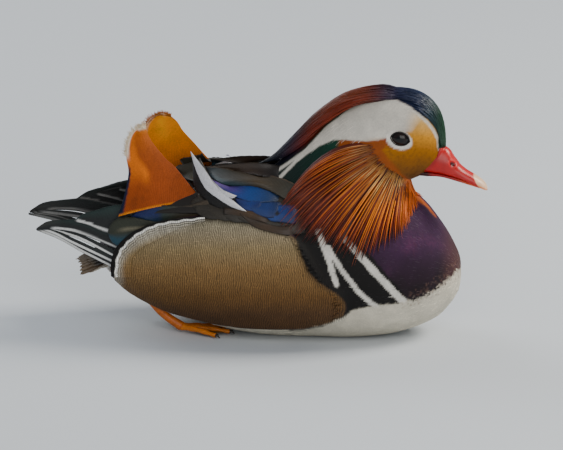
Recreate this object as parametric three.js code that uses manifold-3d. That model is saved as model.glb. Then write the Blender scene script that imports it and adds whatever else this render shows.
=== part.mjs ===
// A drake mandarin duck as it floats at rest, life size, set down on the flat of its belly.
// Millimetres. +X points to the bill, +Y to the bird's left, +Z up.
// The origin is on the ground, in the middle of the flat of the belly.
import * as THREE from "three";
import { mergeVertices } from "three/addons/utils/BufferGeometryUtils.js";
import Module from "manifold-3d";

const wasm = await Module();
wasm.setup();

// Driving dimensions
const GAP = 0.3; // between touching pieces
const STAND_OFF = 1; // of a curved plate's hidden face from the smooth skin that it lies on
const GROUND = 0; // the level that the belly and the feet rest on
const BREAST_X = 146.5; // foremost point of the breast
const RUMP_X = -132; // end of the rump under the tail
const EYE = { x: 102, z: 157.2, radius: 7.2, deep: 5.2 };
const RIGHT = -1;
const LEFT = 1;

const COLOURS = {
  breast: 0x33202f,
  cheek: 0xb87420,
  neck: 0x8a4a1c,
  bill: 0xc22a26,
  eye: 0x0c0a09,
  crest: 0x5a2a1c,
  ruff: 0xa4501c,
  mantle: 0x2b2620,
  flank: 0xa08455,
  wing: 0x24282c,
  primaries: 0x2a2a2c,
  sail: 0xc4661a,
  tail: 0x3a3428,
  foot: 0xb8842c,
};

// Shared shape functions

// A value between table rows, smooth, by the rows' first column.
function smooth(rows, at) {
  let i = 0;
  while (i < rows.length - 2 && at > rows[i + 1][0]) i++;
  const [a, b] = [rows[i], rows[i + 1]];
  const before = rows[Math.max(0, i - 1)];
  const after = rows[Math.min(rows.length - 1, i + 2)];
  const span = b[0] - a[0];
  const t = THREE.MathUtils.clamp((at - a[0]) / span, 0, 1);
  return a.map((_, k) => {
    const leave = ((b[k] - before[k]) / (b[0] - before[0])) * span;
    const arrive = ((after[k] - a[k]) / (after[0] - a[0])) * span;
    const [t2, t3] = [t * t, t * t * t];
    return (
      (2 * t3 - 3 * t2 + 1) * a[k] +
      (t3 - 2 * t2 + t) * leave +
      (3 * t2 - 2 * t3) * b[k] +
      (t3 - t2) * arrive
    );
  });
}

const power = (value, n) => Math.sign(value) * Math.abs(value) ** (2 / n);
const mix = (a, b, t) => a + (b - a) * t;
const steps = (n) => Array.from({ length: n + 1 }, (_, i) => i / n);

function toSolid(points, triangles) {
  const geometry = new THREE.BufferGeometry();
  const flat = points.flatMap((p) => [p.x, p.y, p.z]);
  geometry.setAttribute("position", new THREE.Float32BufferAttribute(flat, 3));
  geometry.setIndex(triangles);
  return geometryToSolid(geometry);
}

function geometryToSolid(source) {
  const geometry = source.clone();
  for (const name of ["normal", "uv"]) geometry.deleteAttribute(name);
  const merged = mergeVertices(geometry, 1e-3);
  const make = (triVerts) =>
    new wasm.Manifold(
      new wasm.Mesh({
        numProp: 3,
        vertProperties: merged.attributes.position.array,
        triVerts,
      }),
    );
  const triangles = new Uint32Array(merged.index.array);
  const solid = make(triangles);
  return solid.volume() > 0 ? solid : make(triangles.reverse());
}

// A closed body through rings of points. On a sheet the far face takes the near face's diagonals.
function loft(rings, sheet = false) {
  const n = rings[0].length;
  const points = rings.flat();
  const triangles = [];
  for (let j = 0; j < rings.length - 1; j++) {
    for (let i = 0; i < n; i++) {
      const [a, b] = [j * n + i, j * n + ((i + 1) % n)];
      const [c, d] = [a + n, b + n];
      if (sheet && i >= n / 2) triangles.push(a, b, c, b, d, c);
      else triangles.push(a, b, d, a, d, c);
    }
  }
  for (const [j, turn] of [
    [0, true],
    [rings.length - 1, false],
  ]) {
    const middle = new THREE.Vector3();
    rings[j].forEach((p) => middle.addScaledVector(p, 1 / n));
    points.push(middle);
    for (let i = 0; i < n; i++) {
      const [a, b] = [j * n + i, j * n + ((i + 1) % n)];
      triangles.push(points.length - 1, ...(turn ? [b, a] : [a, b]));
    }
  }
  return toSolid(points, triangles);
}

// A closed plate between two faces, each a function of u and v from 0 to 1.
function slab(across, along, outer, inner) {
  const width = across + 1;
  const points = [];
  for (const face of [outer, inner])
    for (const v of steps(along)) for (const u of steps(across)) points.push(face(u, v));
  const half = width * (along + 1);
  const triangles = [];
  for (let j = 0; j < along; j++) {
    for (let i = 0; i < across; i++) {
      const [a, b] = [j * width + i, j * width + i + 1];
      const [c, d] = [a + width, b + width];
      triangles.push(a, b, d, a, d, c);
      triangles.push(a + half, d + half, b + half, a + half, c + half, d + half);
    }
  }
  const edge = [];
  for (let i = 0; i < across; i++) edge.push(i);
  for (let j = 0; j < along; j++) edge.push(j * width + across);
  for (let i = across; i > 0; i--) edge.push(along * width + i);
  for (let j = along; j > 0; j--) edge.push(j * width);
  edge.forEach((a, k) => {
    const b = edge[(k + 1) % edge.length];
    triangles.push(b, a, a + half, b, a + half, b + half);
  });
  return toSolid(points, triangles);
}

const join = (solids) => wasm.Manifold.union(solids);

// A repeatable draw between -1 and 1, for the small unevenness of feathers.
function draws(seed) {
  let state = seed;
  return () => {
    state = (state * 16807) % 2147483647;
    return (2 * state) / 2147483647 - 1;
  };
}

// A flat feather or lock: a thin lens in section, along a line, with its face turned out.
// place(t) gives the line and the way out; half(t) its half width; droop lowers the edges.
function vane(place, half, thick, rings = 4, droop = 0) {
  return loft(
    steps(rings).map((step) => {
      const t = step ** 0.85;
      const { at, out } = place(t);
      const along = place(Math.min(1, t + 0.02)).at.sub(place(Math.max(0, t - 0.02)).at);
      const across = out.clone().cross(along.normalize()).normalize();
      const face = along.clone().cross(across).normalize();
      const deep = (thick / 2) * mix(1, 0.45, t * t);
      const edge = (way) =>
        at.clone().addScaledVector(across, way * half(t)).addScaledVector(face, -droop * half(t));
      return [
        edge(-1),
        at.clone().addScaledVector(face, deep),
        edge(1),
        at.clone().addScaledVector(face, -deep),
      ];
    }),
    true,
  );
}

// Half widths from root to tip: a hackle tapers to a point, a covert or quill feather ends round.
const hackle = (half) => (t) => half * Math.max(0.1, Math.min(0.45 + 2.4 * t, 1, 2.1 * (1 - t)));
const rounded = (half) => (t) =>
  half * Math.min(0.55 + 1.5 * t, 1) * Math.sqrt(1 - 0.93 * Math.max(0, (t - 0.6) / 0.4) ** 2);
const quill = (half) => (t) => half * Math.min(0.7 + t, 1, 0.08 + 1.9 * (1 - t) ** 0.75);

// The same solid with each face moved out by a distance, to cut its neighbours clear of it.
function swell(solid, distance = GAP * 1.1) {
  const { vertProperties, triVerts } = solid.getMesh();
  const count = vertProperties.length / 3;
  const at = (i) => new THREE.Vector3().fromArray(vertProperties, 3 * i);
  const around = Array.from({ length: count }, () => []);
  const normals = Array.from({ length: count }, () => new THREE.Vector3());
  for (let t = 0; t < triVerts.length; t += 3) {
    const corners = [0, 1, 2].map((k) => triVerts[t + k]);
    const [a, b, c] = corners.map(at);
    const normal = new THREE.Triangle(a, b, c).getNormal(new THREE.Vector3());
    if (normal.lengthSq() < 0.5) continue;
    for (const [i, [p, q, r]] of [
      [corners[0], [a, b, c]],
      [corners[1], [b, c, a]],
      [corners[2], [c, a, b]],
    ]) {
      around[i].push(normal);
      normals[i].addScaledVector(normal, q.clone().sub(p).angleTo(r.clone().sub(p)));
    }
  }
  const moved = new Float32Array(vertProperties.length);
  for (let i = 0; i < count; i++) {
    const out = normals[i].normalize();
    const least = Math.min(...around[i].map((n) => n.dot(out)));
    const reach = distance / THREE.MathUtils.clamp(least, 0.45, 1);
    at(i).addScaledVector(out, reach).toArray(moved, 3 * i);
  }
  return new wasm.Manifold(
    new wasm.Mesh({ numProp: 3, vertProperties: moved, triVerts: new Uint32Array(triVerts) }),
  );
}

const room = (solid) => swell(solid).add(solid);

// The same solid with the ends of its very short edges drawn together, so no cut leaves slivers.
function weld(solid, shortest = 0.03) {
  const { vertProperties, triVerts } = solid.getMesh();
  const at = (i) => new THREE.Vector3().fromArray(vertProperties, 3 * i);
  const home = steps(vertProperties.length / 3 - 1).map((_, i) => i);
  const find = (i) => (home[i] === i ? i : find(home[i]));
  const triangles = [];
  for (const pass of ["join", "list"]) {
    for (let t = 0; t < triVerts.length; t += 3) {
      const [a, b, c] = [0, 1, 2].map((k) => triVerts[t + k]);
      if (pass === "join") {
        for (const [i, j] of [
          [a, b],
          [b, c],
          [c, a],
        ])
          if (at(i).distanceTo(at(j)) < shortest) home[find(i)] = find(j);
      } else {
        const corners = [a, b, c].map(find);
        if (new Set(corners).size === 3) triangles.push(...corners);
      }
    }
  }
  return new wasm.Manifold(
    new wasm.Mesh({ numProp: 3, vertProperties, triVerts: new Uint32Array(triangles) }),
  );
}

function largest(solid) {
  const bodies = solid.decompose();
  return bodies.reduce((best, body) => (body.volume() > best.volume() ? body : best));
}

// A plane curve through points given as [x, z], or [x, y, z], with t from 0 to 1.
function route(points) {
  const list = points.map((p) => new THREE.Vector3(...p));
  const curve = new THREE.CatmullRomCurve3(list, false, "centripetal");
  return (t) => curve.getPoint(t);
}

// Torso: breast, belly and rump, from the rump to the breast.
// Columns: x, underside, top, half width, height of the widest line, fullness above and below it.
const TORSO = [
  [RUMP_X, 49, 59, 7, 54, 2, 2],
  [-126, 42, 68, 17, 55, 2, 2],
  [-114, 32, 82, 29, 57, 2, 2],
  [-98, 21.5, 97, 41, 58, 2, 2],
  [-76, 11, 109, 52, 60, 2.05, 2.1],
  [-46, 3.5, 118, 60, 60, 2.1, 2.2],
  [-22, -1, 121, 63, 58, 2.1, 2.3],
  [0, -3.5, 122, 63.5, 57, 2.1, 2.3],
  [30, -4, 121.5, 63, 56, 2.1, 2.2],
  [66, -3.5, 119, 60, 54, 2.1, 2.2],
  [94, -0.5, 115, 53.5, 52, 2.1, 2.1],
  [115, 6, 105.5, 44, 50, 2.1, 2.1],
  [130, 14, 88.5, 33, 48.5, 2, 2],
  [139, 24, 74.5, 22.5, 48.5, 2, 2],
  [144.5, 34, 63, 12, 49, 2, 2],
  [BREAST_X, 43, 55, 4, 49, 2, 2],
];
const TORSO_SIDES = 26;
const TORSO_RINGS = 20;

// The torso's skin at x and an angle round it, 0 at the bird's left and 90 degrees at the top.
function torsoPoint(x, angle, grow = 0) {
  const [, under, top, half, wide, above, below] = smooth(TORSO, x);
  const [c, s] = [Math.cos(angle), Math.sin(angle)];
  const full = s >= 0 ? above : below;
  const reach = (s >= 0 ? top - wide : wide - under) + grow;
  return new THREE.Vector3(x, power(c, full) * (half + grow), wide + power(s, full) * reach);
}

function torsoSolid() {
  const rings = steps(TORSO_RINGS).map((t) => {
    const eased = (1 - Math.cos(Math.PI * t)) / 2;
    const x = mix(RUMP_X, BREAST_X, mix(t, eased, 0.75));
    return steps(TORSO_SIDES - 1).map((_, i) => torsoPoint(x, (2 * Math.PI * i) / TORSO_SIDES));
  });
  return loft(rings);
}

// Head and neck: sections that fan round the throat, from the bill to the nape.
// Columns: order, top x and z, throat x and z, half width, widest place, fullness above and below.
const HEAD = [
  [0, 134, 144.5, 121, 127, 9, 0.46, 2.2, 2.2],
  [1, 133, 161, 114, 122.5, 13.5, 0.46, 2.2, 2.1],
  [2, 129, 174.5, 109, 120, 17.5, 0.48, 2.1, 2],
  [3, 120.5, 184.5, 106, 118.5, 20.5, 0.5, 2.1, 2],
  [4, 108, 190, 104.5, 116, 22.5, 0.48, 2.1, 2],
  [5, 91, 190.5, 104.5, 113, 23.5, 0.46, 2, 2],
  [6, 71.5, 184.5, 105.5, 110, 25.5, 0.44, 1.9, 2],
  [7, 50, 173, 107, 106, 29, 0.42, 1.8, 2],
  [8, 29, 155, 109, 102, 34, 0.4, 1.8, 2],
  [9, 10, 135, 112, 97, 39, 0.4, 1.9, 2],
  [10, -8, 118, 116, 92, 43, 0.4, 2, 2],
];
const HEAD_SIDES = 22;
const NAPE = 6; // the section where the head ends and the neck begins

function headPoint(order, angle) {
  const [, tx, tz, bx, bz, half, at, above, below] = smooth(HEAD, order);
  const throat = new THREE.Vector3(bx, 0, bz);
  const along = new THREE.Vector3(tx - bx, 0, tz - bz);
  const [c, s] = [Math.cos(angle), Math.sin(angle)];
  const full = s >= 0 ? above : below;
  const share = at + power(s, full) * (s >= 0 ? 1 - at : at);
  const p = throat.addScaledVector(along, share);
  p.y = power(c, full) * half;
  return p;
}

function headSolid(from, to, rings) {
  return loft(
    steps(rings).map((t) => {
      const order = mix(from, to, t);
      return steps(HEAD_SIDES - 1).map((_, i) => headPoint(order, (2 * Math.PI * i) / HEAD_SIDES));
    }),
  );
}

const torsoWhole = torsoSolid();
const headWhole = headSolid(0, NAPE, 10);
const neckWhole = headSolid(NAPE, 10, 7);

function toMesh(solid) {
  const mesh = solid.getMesh();
  const geometry = new THREE.BufferGeometry();
  geometry.setAttribute("position", new THREE.Float32BufferAttribute(mesh.vertProperties, 3));
  geometry.setIndex(new THREE.Uint32BufferAttribute(mesh.triVerts, 1));
  const made = new THREE.Mesh(geometry, new THREE.MeshBasicMaterial({ side: THREE.DoubleSide }));
  made.updateMatrixWorld(true);
  return made;
}

// How far out to one side a solid reaches, at a place seen from the side.
function sideFinder(solid) {
  const mesh = toMesh(solid);
  const ray = new THREE.Raycaster();
  const far = 200;
  return (x, z) => {
    ray.set(new THREE.Vector3(x, far, z), new THREE.Vector3(0, -1, 0));
    const hit = ray.intersectObject(mesh)[0];
    return hit ? Math.max(0, hit.point.y) : 0;
  };
}
const sideAt = sideFinder(join([torsoWhole, headWhole, neckWhole]));

// Eyes: balls sunk in the head, with a ring of lid round each.
function eyeBall(side) {
  const ball = new THREE.SphereGeometry(EYE.radius, 12, 8);
  ball.translate(EYE.x, side * (sideAt(EYE.x, EYE.z) - EYE.deep), EYE.z);
  return geometryToSolid(ball);
}

// The eye shows through a long oval of lid, and stands a little proud of it.
function lidRing(side) {
  const [long, high, tube] = [7.3, 5.9, 1.15];
  const ring = new THREE.TorusGeometry(1, tube / 6.5, 4, 14);
  ring.scale(long, high, 6.5);
  ring.rotateX(Math.PI / 2);
  ring.translate(EYE.x, side * (sideAt(EYE.x, EYE.z) - 0.6), EYE.z);
  return geometryToSolid(ring);
}

// Bill: columns are x, underside, top, half width, and fullness.
const BILL_ROOT_X = 110;
const UPPER_BILL = [
  [BILL_ROOT_X, 129, 146, 8.6],
  [126, 127.6, 147, 9.4],
  [134, 126.4, 145.8, 9],
  [139.5, 125, 139.8, 8.3],
  [146, 123, 132.4, 7.6],
  [153, 120.2, 127.4, 7.2],
  [159, 117.4, 123.6, 6.6],
  [163, 115, 121, 5],
  [165.4, 113.6, 118, 2.4],
];
const LOWER_BILL = [
  [BILL_ROOT_X, 124.5, 128.7, 7.4],
  [120, 124.8, 128, 8],
  [134, 124, 126.1, 7.6],
  [146, 120.7, 122.7, 6.4],
  [154, 117.9, 119.5, 5.6],
  [160, 115.3, 116.6, 4],
  [162.4, 114.2, 115, 2],
];

function billSolid(table, rings, sides, flatSide) {
  const first = table[0][0];
  const last = table[table.length - 1][0];
  return loft(
    steps(rings).map((t) => {
      const x = mix(first, last, t);
      const [, under, top, half] = smooth(table, x);
      const wide = flatSide === "under" ? mix(under, top, 0.3) : mix(under, top, 0.7);
      return steps(sides - 1).map((_, i) => {
        const angle = (2 * Math.PI * i) / sides;
        const [c, s] = [Math.cos(angle), Math.sin(angle)];
        const reach = s >= 0 ? top - wide : wide - under;
        const full = (s < 0) === (flatSide === "under") ? 4 : 2;
        return new THREE.Vector3(x, power(c, full) * half, wide + power(s, full) * reach);
      });
    }),
  );
}

function nostril(side) {
  const hole = new THREE.SphereGeometry(1, 10, 6);
  hole.scale(2.3, 2.2, 1.1);
  hole.rotateY(0.5);
  hole.translate(140.2, side * 7.2, 134);
  return geometryToSolid(hole);
}

// Crest: long silky feathers from the crown to below the nape.
// Columns: order, x and z of its outer line, half width, depth.
const CREST = [
  [0, 106, 190.9, 8, 4],
  [1, 97, 193.1, 11.5, 6],
  [2, 85, 193.1, 14, 8],
  [3, 69.5, 190, 15.5, 9.5],
  [4, 53.5, 183.8, 15.5, 11],
  [5, 34.5, 169.3, 14.5, 12],
  [6, 20, 153.6, 13, 12],
  [7, 5, 137.5, 10.5, 8.5],
  [8, -4, 130.5, 7.5, 5],
  [9, -13, 126.3, 3, 2],
];
const CREST_LAST = 9;
const CREST_CORE_END = 4.4; // the feathers are free from here to their tips
const CREST_ROWS = [
  { count: 5, spread: 1.25, share: [0.62, 0.7], first: 3.9, last: [8.6, 7.4], half: 3.7 },
  { count: 4, spread: 0.95, share: [0.84, 0.98], first: 3.7, last: [9, 8], half: 3.9 },
];

// A place on the crest: along it, round it (0 at the left edge, 90 degrees on the keel), and how deep.
function crestPoint(order, angle, share = 1) {
  const [, x, z, half, depth] = smooth(CREST, order);
  const [, x2, z2] = smooth(CREST, Math.min(CREST_LAST, order + 0.1));
  const [, x1, z1] = smooth(CREST, Math.max(0, order - 0.1));
  const along = new THREE.Vector3(x2 - x1, 0, z2 - z1).normalize();
  const out = new THREE.Vector3(along.z, 0, -along.x).multiplyScalar(-1);
  if (out.z < 0) out.negate();
  const p = new THREE.Vector3(x, 0, z).addScaledVector(out, (Math.sin(angle) * share - 1) * depth);
  p.y = Math.cos(angle) * half * share;
  return p;
}

function crestSolid() {
  const sides = 12;
  const core = loft(
    steps(7).map((t) =>
      steps(sides - 1).map((_, i) =>
        crestPoint(t * CREST_CORE_END, (2 * Math.PI * i) / sides, mix(0.96, 0.8, t * t)),
      ),
    ),
  );
  const draw = draws(11);
  const locks = CREST_ROWS.flatMap(({ count, spread, share, first, last, half }) =>
    steps(count - 1).map((s) => {
      const way = mix(-1, 1, s);
      const angle = Math.PI / 2 - way * spread;
      const end = mix(last[0], last[1], Math.abs(way)) + 0.15 * draw();
      const place = (t) => {
        const order = mix(first, end, t);
        const at = crestPoint(order, angle, mix(share[0], share[1], Math.sin(Math.PI * Math.min(t, 0.5))));
        const out = crestPoint(order, angle, 1.6).sub(crestPoint(order, angle, 0.4)).normalize();
        return { at, out };
      };
      return vane(place, hackle(half), 1.6, 3);
    }),
  );
  return join([core, ...locks]);
}

// Flank: the buff panel of long side feathers that covers the lower wing.
// Columns: x, the height of its upper edge, the height where it fades into the belly.
const FLANK = [
  [-116, 56, 44],
  [-113, 63, 36],
  [-106, 76, 30],
  [-95, 88, 25],
  [-80, 96.5, 20],
  [-60, 101, 16],
  [-36, 102.5, 13],
  [-7, 101, 12],
  [13, 97, 12],
  [28, 91, 13],
  [38, 78, 15],
  [46, 64, 17],
  [56, 53, 20],
  [68, 42, 26],
];
const FLANK_DEPTH = 3.8;

// The angle round the torso at which its skin has a given height.
function angleAt(x, z) {
  const [, under, top, , wide, above, below] = smooth(TORSO, x);
  const reach = z >= wide ? top - wide : wide - under;
  const full = z >= wide ? above : below;
  const share = THREE.MathUtils.clamp((z - wide) / reach, -1, 1);
  return Math.asin(Math.sign(share) * Math.abs(share) ** (full / 2));
}

function onSide(side, x, angle, grow) {
  const p = torsoPoint(x, angle, grow);
  p.y *= side;
  return p;
}

function flankSolid(side) {
  const face = (out) => (u, v) => {
    const x = mix(-115.5, 66, u);
    const [, high, low] = smooth(FLANK, x);
    const angle = mix(angleAt(x, low), angleAt(x, high), v);
    const fade = Math.min(1, 0.45 + 12 * u, 5 * (1 - u), 2.6 * v);
    const blunt = 1 + 0.75 * Math.exp(-(((x + 112) / 16) ** 2)) * Math.min(1, 3 * v);
    const depth = FLANK_DEPTH * blunt * Math.sqrt(Math.max(0.12, fade)) * mix(1, 0.72, v ** 8);
    return onSide(side, x, angle, STAND_OFF + (out ? depth : 0));
  };
  return slab(15, 6, face(true), face(false));
}

// Wing: a core over the shoulder, with scapulars, the white and black shoulder band, and tertials.
const WING_FRONT_X = 34;
const WING_REAR_X = -100;
const WING_DEPTH = 4.4;
const WING_REAR_RISE = 8; // where the folded wing stands off the rump

// Scapulars and tertials: rows of [x, y, z] from root to tip, and their half widths.
const SCAPULARS = [
  { line: [[20, 30, 111], [-6, 24, 121], [-34, 19, 125.5]], half: 8 },
  { line: [[12, 40, 104], [-14, 36, 114], [-40, 31, 120]], half: 8.5 },
  { line: [[4, 47, 98], [-20, 45, 106], [-42, 41, 111.5]], half: 8 },
];
const TERTIALS = [
  { line: [[-34, 38, 108], [-66, 34, 107], [-98, 29, 100]], half: 6.5 },
  { line: [[-42, 41, 104], [-74, 37, 100.5], [-108, 32, 92]], half: 7 },
  { line: [[-62, 42, 98], [-90, 41.5, 90], [-119, 40, 80.5]], half: 9 },
];

function laidFeather(side, line, half) {
  const path = route(line.map(([x, y, z]) => [x, side * y, z]));
  const out = new THREE.Vector3(0, side * line[1][1], line[1][2] - 62).normalize();
  return vane((t) => ({ at: path(t), out }), half, 1.3, 3, 0.12);
}

// The shoulder band: a crescent of stiff feathers whose points stand free above the back.
// Rows of [x, y, z] from the root by the flank to the point.
const BAND_WHITE = [
  [-10, 48, 102],
  [-27, 47, 109.5],
  [-38, 40, 117],
  [-45, 32, 127],
  [-57.5, 24, 144],
];
const LEFT_BAND_DROP = 20; // the left band's points lie lower than the right one's
const BAND_BLACK = [
  [-12, 48, 99],
  [-31, 48, 103.5],
  [-44, 41.5, 110.5],
  [-51, 34, 120],
  [-56, 27, 135],
];

function bandFeather(side, rows, half, push) {
  const drop = side === LEFT ? LEFT_BAND_DROP : 0;
  const path = route(
    rows.map(([x, y, z], i) => [x, side * (y + push), z - drop * (i / (rows.length - 1)) ** 2]),
  );
  const out = new THREE.Vector3(0, side * 0.86, 0.5).normalize();
  const width = (t) => half * Math.min(1, 0.5 + 2 * t, 0.05 + 2.1 * (1 - t));
  return vane((t) => ({ at: path(t), out }), width, 1.4, 4);
}

function wingCore(side) {
  const face = (out) => (u, v) => {
    const x = mix(WING_REAR_X, WING_FRONT_X, u);
    const [, high] = smooth(FLANK, Math.min(x, 24));
    const low = angleAt(x, high + 1.6);
    const angle = mix(low, mix(1.32, 1.36, u), v);
    const fade = Math.min(1, 4 * u + 0.4, 2.2 * (1 - u));
    const rim = Math.sqrt(Math.sin(Math.PI * mix(0.2, 0.9, v)));
    const rear = THREE.MathUtils.smoothstep(-x, 40, 95);
    const rise = WING_REAR_RISE * rear * Math.exp(-(((angle - 0.95) / 0.4) ** 2));
    return onSide(side, x, angle, STAND_OFF + (out ? WING_DEPTH * fade * rim + rise : 0));
  };
  return slab(11, 5, face(true), face(false));
}

function wingSolid(side) {
  const laid = [...SCAPULARS, ...TERTIALS].map(({ line, half }) =>
    laidFeather(side, line, rounded(half)),
  );
  const band = [bandFeather(side, BAND_BLACK, 6, 0), bandFeather(side, BAND_WHITE, 6.4, 1.9)];
  return join([wingCore(side), ...laid, ...band]);
}

// The side of the bird with the flanks and the wings on it.
const sideOver = sideFinder(
  join([torsoWhole, headWhole, neckWhole, flankSolid(LEFT), wingCore(LEFT)]),
);

// Ruff: copper hackles that fan from the cheek over the neck. Root and tip lines, seen from the side.
const RUFF_ROOT = route([
  [84, 0, 153],
  [89, 0, 145],
  [96, 0, 137],
  [102, 0, 130],
  [107, 0, 122.5],
]);
const RUFF_TIP = route([
  [21, 0, 119],
  [13, 0, 105],
  [22, 0, 92],
  [38, 0, 84],
  [55, 0, 77],
  [74, 0, 71.5],
  [93, 0, 78],
  [107, 0, 88],
  [115, 0, 103],
]);
// The way that a hackle leaves the cheek turns from straight back to straight down.
const RUFF_LEAVE = [Math.PI * 0.97, Math.PI * 1.52];
const RUFF_CORE = 0.42; // the core reaches this share of the way to the tips
const RUFF_ROWS = [
  { count: 10, from: 0.02, to: 0.97, start: RUFF_CORE - 0.08, reach: 1, lift: 1.9 },
  { count: 8, from: 0.07, to: 0.92, start: 0.2, reach: 0.93, lift: 3.9 },
];

function hackleLine(s, t) {
  const root = RUFF_ROOT(s);
  const tip = RUFF_TIP(s);
  const leave = mix(RUFF_LEAVE[0], RUFF_LEAVE[1], s ** 0.8);
  const bend = root.distanceTo(tip) * 0.5;
  const turn = root.clone().add(new THREE.Vector3(Math.cos(leave) * bend, 0, Math.sin(leave) * bend));
  return new THREE.QuadraticBezierCurve3(root, turn, tip).getPoint(t);
}

function ruffSolid(side) {
  const face = (out) => (u, v) => {
    const p = hackleLine(mix(0.01, 0.99, u), mix(0.02, RUFF_CORE, v));
    const rim = Math.min(1, 6 * Math.min(u, 1 - u), 4 * v, 0.35 + 3 * (1 - v));
    const skin = sideAt(p.x, p.z) + STAND_OFF + 0.3;
    p.y = side * (skin + (out ? mix(0.6, 3, Math.sqrt(rim)) : 0));
    return p;
  };
  const core = slab(9, 3, face(true), face(false));
  const draw = draws(side === RIGHT ? 53 : 43);
  const locks = RUFF_ROWS.flatMap(({ count, from, to, start, reach, lift }) =>
    steps(count - 1).map((share) => {
      const s = mix(from, to, share) + 0.006 * draw();
      const far = reach * (1 + 0.03 * draw());
      const step = (to - from) / (count - 1) / 2;
      const line = (t, shift = 0) =>
        hackleLine(THREE.MathUtils.clamp(s + shift, 0, 1), mix(start, far, t));
      const place = (t) => {
        const at = line(t);
        at.y = side * (sideOver(at.x, at.z) + mix(2.1, lift, Math.min(1, 2.5 * t)) + 0.6 * t);
        return { at, out: new THREE.Vector3(0, side, 0.35).normalize() };
      };
      const half = (t) => {
        const free = 0.47 * line(t, step).distanceTo(line(t, -step));
        return Math.max(0.3, Math.min(free, 3.4, 7.5 * (1 - t)));
      };
      return vane(place, half, 1.3, 3);
    }),
  );
  return join([core, ...locks]);
}

// Mantle: the short feathers along the middle of the back.
function mantleSolid() {
  const face = (out) => (u, v) => {
    const x = mix(-84, -15, u);
    const angle = Math.PI / 2 + mix(-0.2, 0.2, v);
    const rim = Math.sqrt(Math.sin(Math.PI * mix(0.12, 0.88, v)));
    return torsoPoint(x, angle, STAND_OFF + (out ? 4 * rim * Math.min(1, 5 * u + 0.3) : 0));
  };
  return slab(8, 4, face(true), face(false));
}

// Sail: the upright orange inner wing feather. Its outline seen from the side, as front and rear edges.
// Rows of [x, z] from the foot to the tip. The left sail is the more open one.
const SAIL_EDGES = {
  [RIGHT]: {
    rear: [
      [-109.8, 94.2],
      [-105.6, 112],
      [-103.8, 125.6],
      [-106.1, 136.5],
      [-105.4, 146.1],
      [-102.6, 153],
      [-96.7, 158.2],
    ],
    front: [
      [-46, 108],
      [-57.5, 119.2],
      [-68.2, 130.3],
      [-76.5, 136.9],
      [-87.9, 148.9],
      [-91.6, 155.5],
      [-92.9, 159],
    ],
  },
  [LEFT]: {
    rear: [
      [-106, 95],
      [-102, 112],
      [-101, 127],
      [-102, 138],
      [-98.5, 149],
      [-92.2, 156.3],
      [-85.5, 160],
    ],
    front: [
      [-41, 110.5],
      [-46.4, 115.7],
      [-53.9, 124.3],
      [-61.7, 134.9],
      [-69.7, 145.4],
      [-73.5, 153],
      [-79, 159],
    ],
  },
};
const SAIL_THICK = [1.5, 0.8]; // at the foot and at the tip
const SAIL_FOOT = { y: 42, z: 95 };
const SAIL_TIP = { y: 17, z: 157 };
const SAIL_HOLLOW = 3;

function sailSolid(side) {
  const [rear, front] = ["rear", "front"].map((edge) =>
    route(SAIL_EDGES[side][edge].map(([x, z]) => [x, 0, z])),
  );
  const face = (out) => (u, v) => {
    const p = rear(v).lerp(front(v), u);
    const up = (p.z - SAIL_FOOT.z) / (SAIL_TIP.z - SAIL_FOOT.z);
    const hollow = SAIL_HOLLOW * Math.sin(Math.PI * u) * (1 - 0.5 * v);
    const thick = mix(SAIL_THICK[0], SAIL_THICK[1], v);
    p.y = side * (mix(SAIL_FOOT.y, SAIL_TIP.y, up) + hollow + (out ? thick / 2 : -thick / 2));
    return p;
  };
  return slab(6, 9, face(true), face(false));
}

// Folded primaries: a fan of long quills from under the rear of the flank, the lowest one the longest.
const PRIMARIES = 8;
const PRIMARY_ROOT = { x: -104, low: 54, high: 92, lowY: 36, highY: 30 };
const PRIMARY_TIP = { x: -177, y: 21, z: 74.5 };
const PRIMARY_LAST = { x: -124, y: 30, z: 96 };
// The left wing is folded a little longer and more level than the right one.
const PRIMARY_SHIFT = { [RIGHT]: [0, 0], [LEFT]: [-12, -4] };

function primaryRoot(side, s, outward) {
  const { x, low, high, lowY, highY } = PRIMARY_ROOT;
  return new THREE.Vector3(x, side * (mix(lowY, highY, s) + outward), mix(low, high, s));
}

function primaryQuill(side, k) {
  const s = k / (PRIMARIES - 1);
  const [further, lower] = PRIMARY_SHIFT[side];
  const root = primaryRoot(side, s, 0.3 * (k % 2));
  const tip = new THREE.Vector3(
    mix(PRIMARY_TIP.x, PRIMARY_LAST.x, s ** 1.4) + further,
    side * (mix(PRIMARY_TIP.y, PRIMARY_LAST.y, s) + 0.6 * k),
    mix(PRIMARY_TIP.z, PRIMARY_LAST.z, s ** 0.8) + lower,
  );
  const turn = root.clone().lerp(tip, 0.5).add(new THREE.Vector3(0, side * 1.5, 2.5));
  const curve = new THREE.QuadraticBezierCurve3(root, turn, tip);
  const out = new THREE.Vector3(0.1, side, 0.25).normalize();
  return vane((t) => ({ at: curve.getPoint(t), out }), quill(4.2), 1.1, 4);
}

function primariesSolid(side) {
  const quills = steps(PRIMARIES - 1).map((_, k) => primaryQuill(side, k));
  const face = (out) => (u, v) => {
    const at = primaryRoot(side, mix(-0.04, 1.04, v), out ? 1 : -2);
    at.x += mix(-5, 4, u);
    return at;
  };
  return join([...quills, slab(1, 3, face(true), face(false))]);
}

// Tail: the end of the rump, and a short fan of stiff feathers that droops behind it.
const TAIL_PART_X = -116; // where the tail is parted from the torso
const TAIL_FEATHERS = 9;
const TAIL_ROOT = new THREE.Vector3(-110, 0, 67);
const TAIL_REACH = 38;
const TAIL_SPREAD = 0.5;

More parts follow.
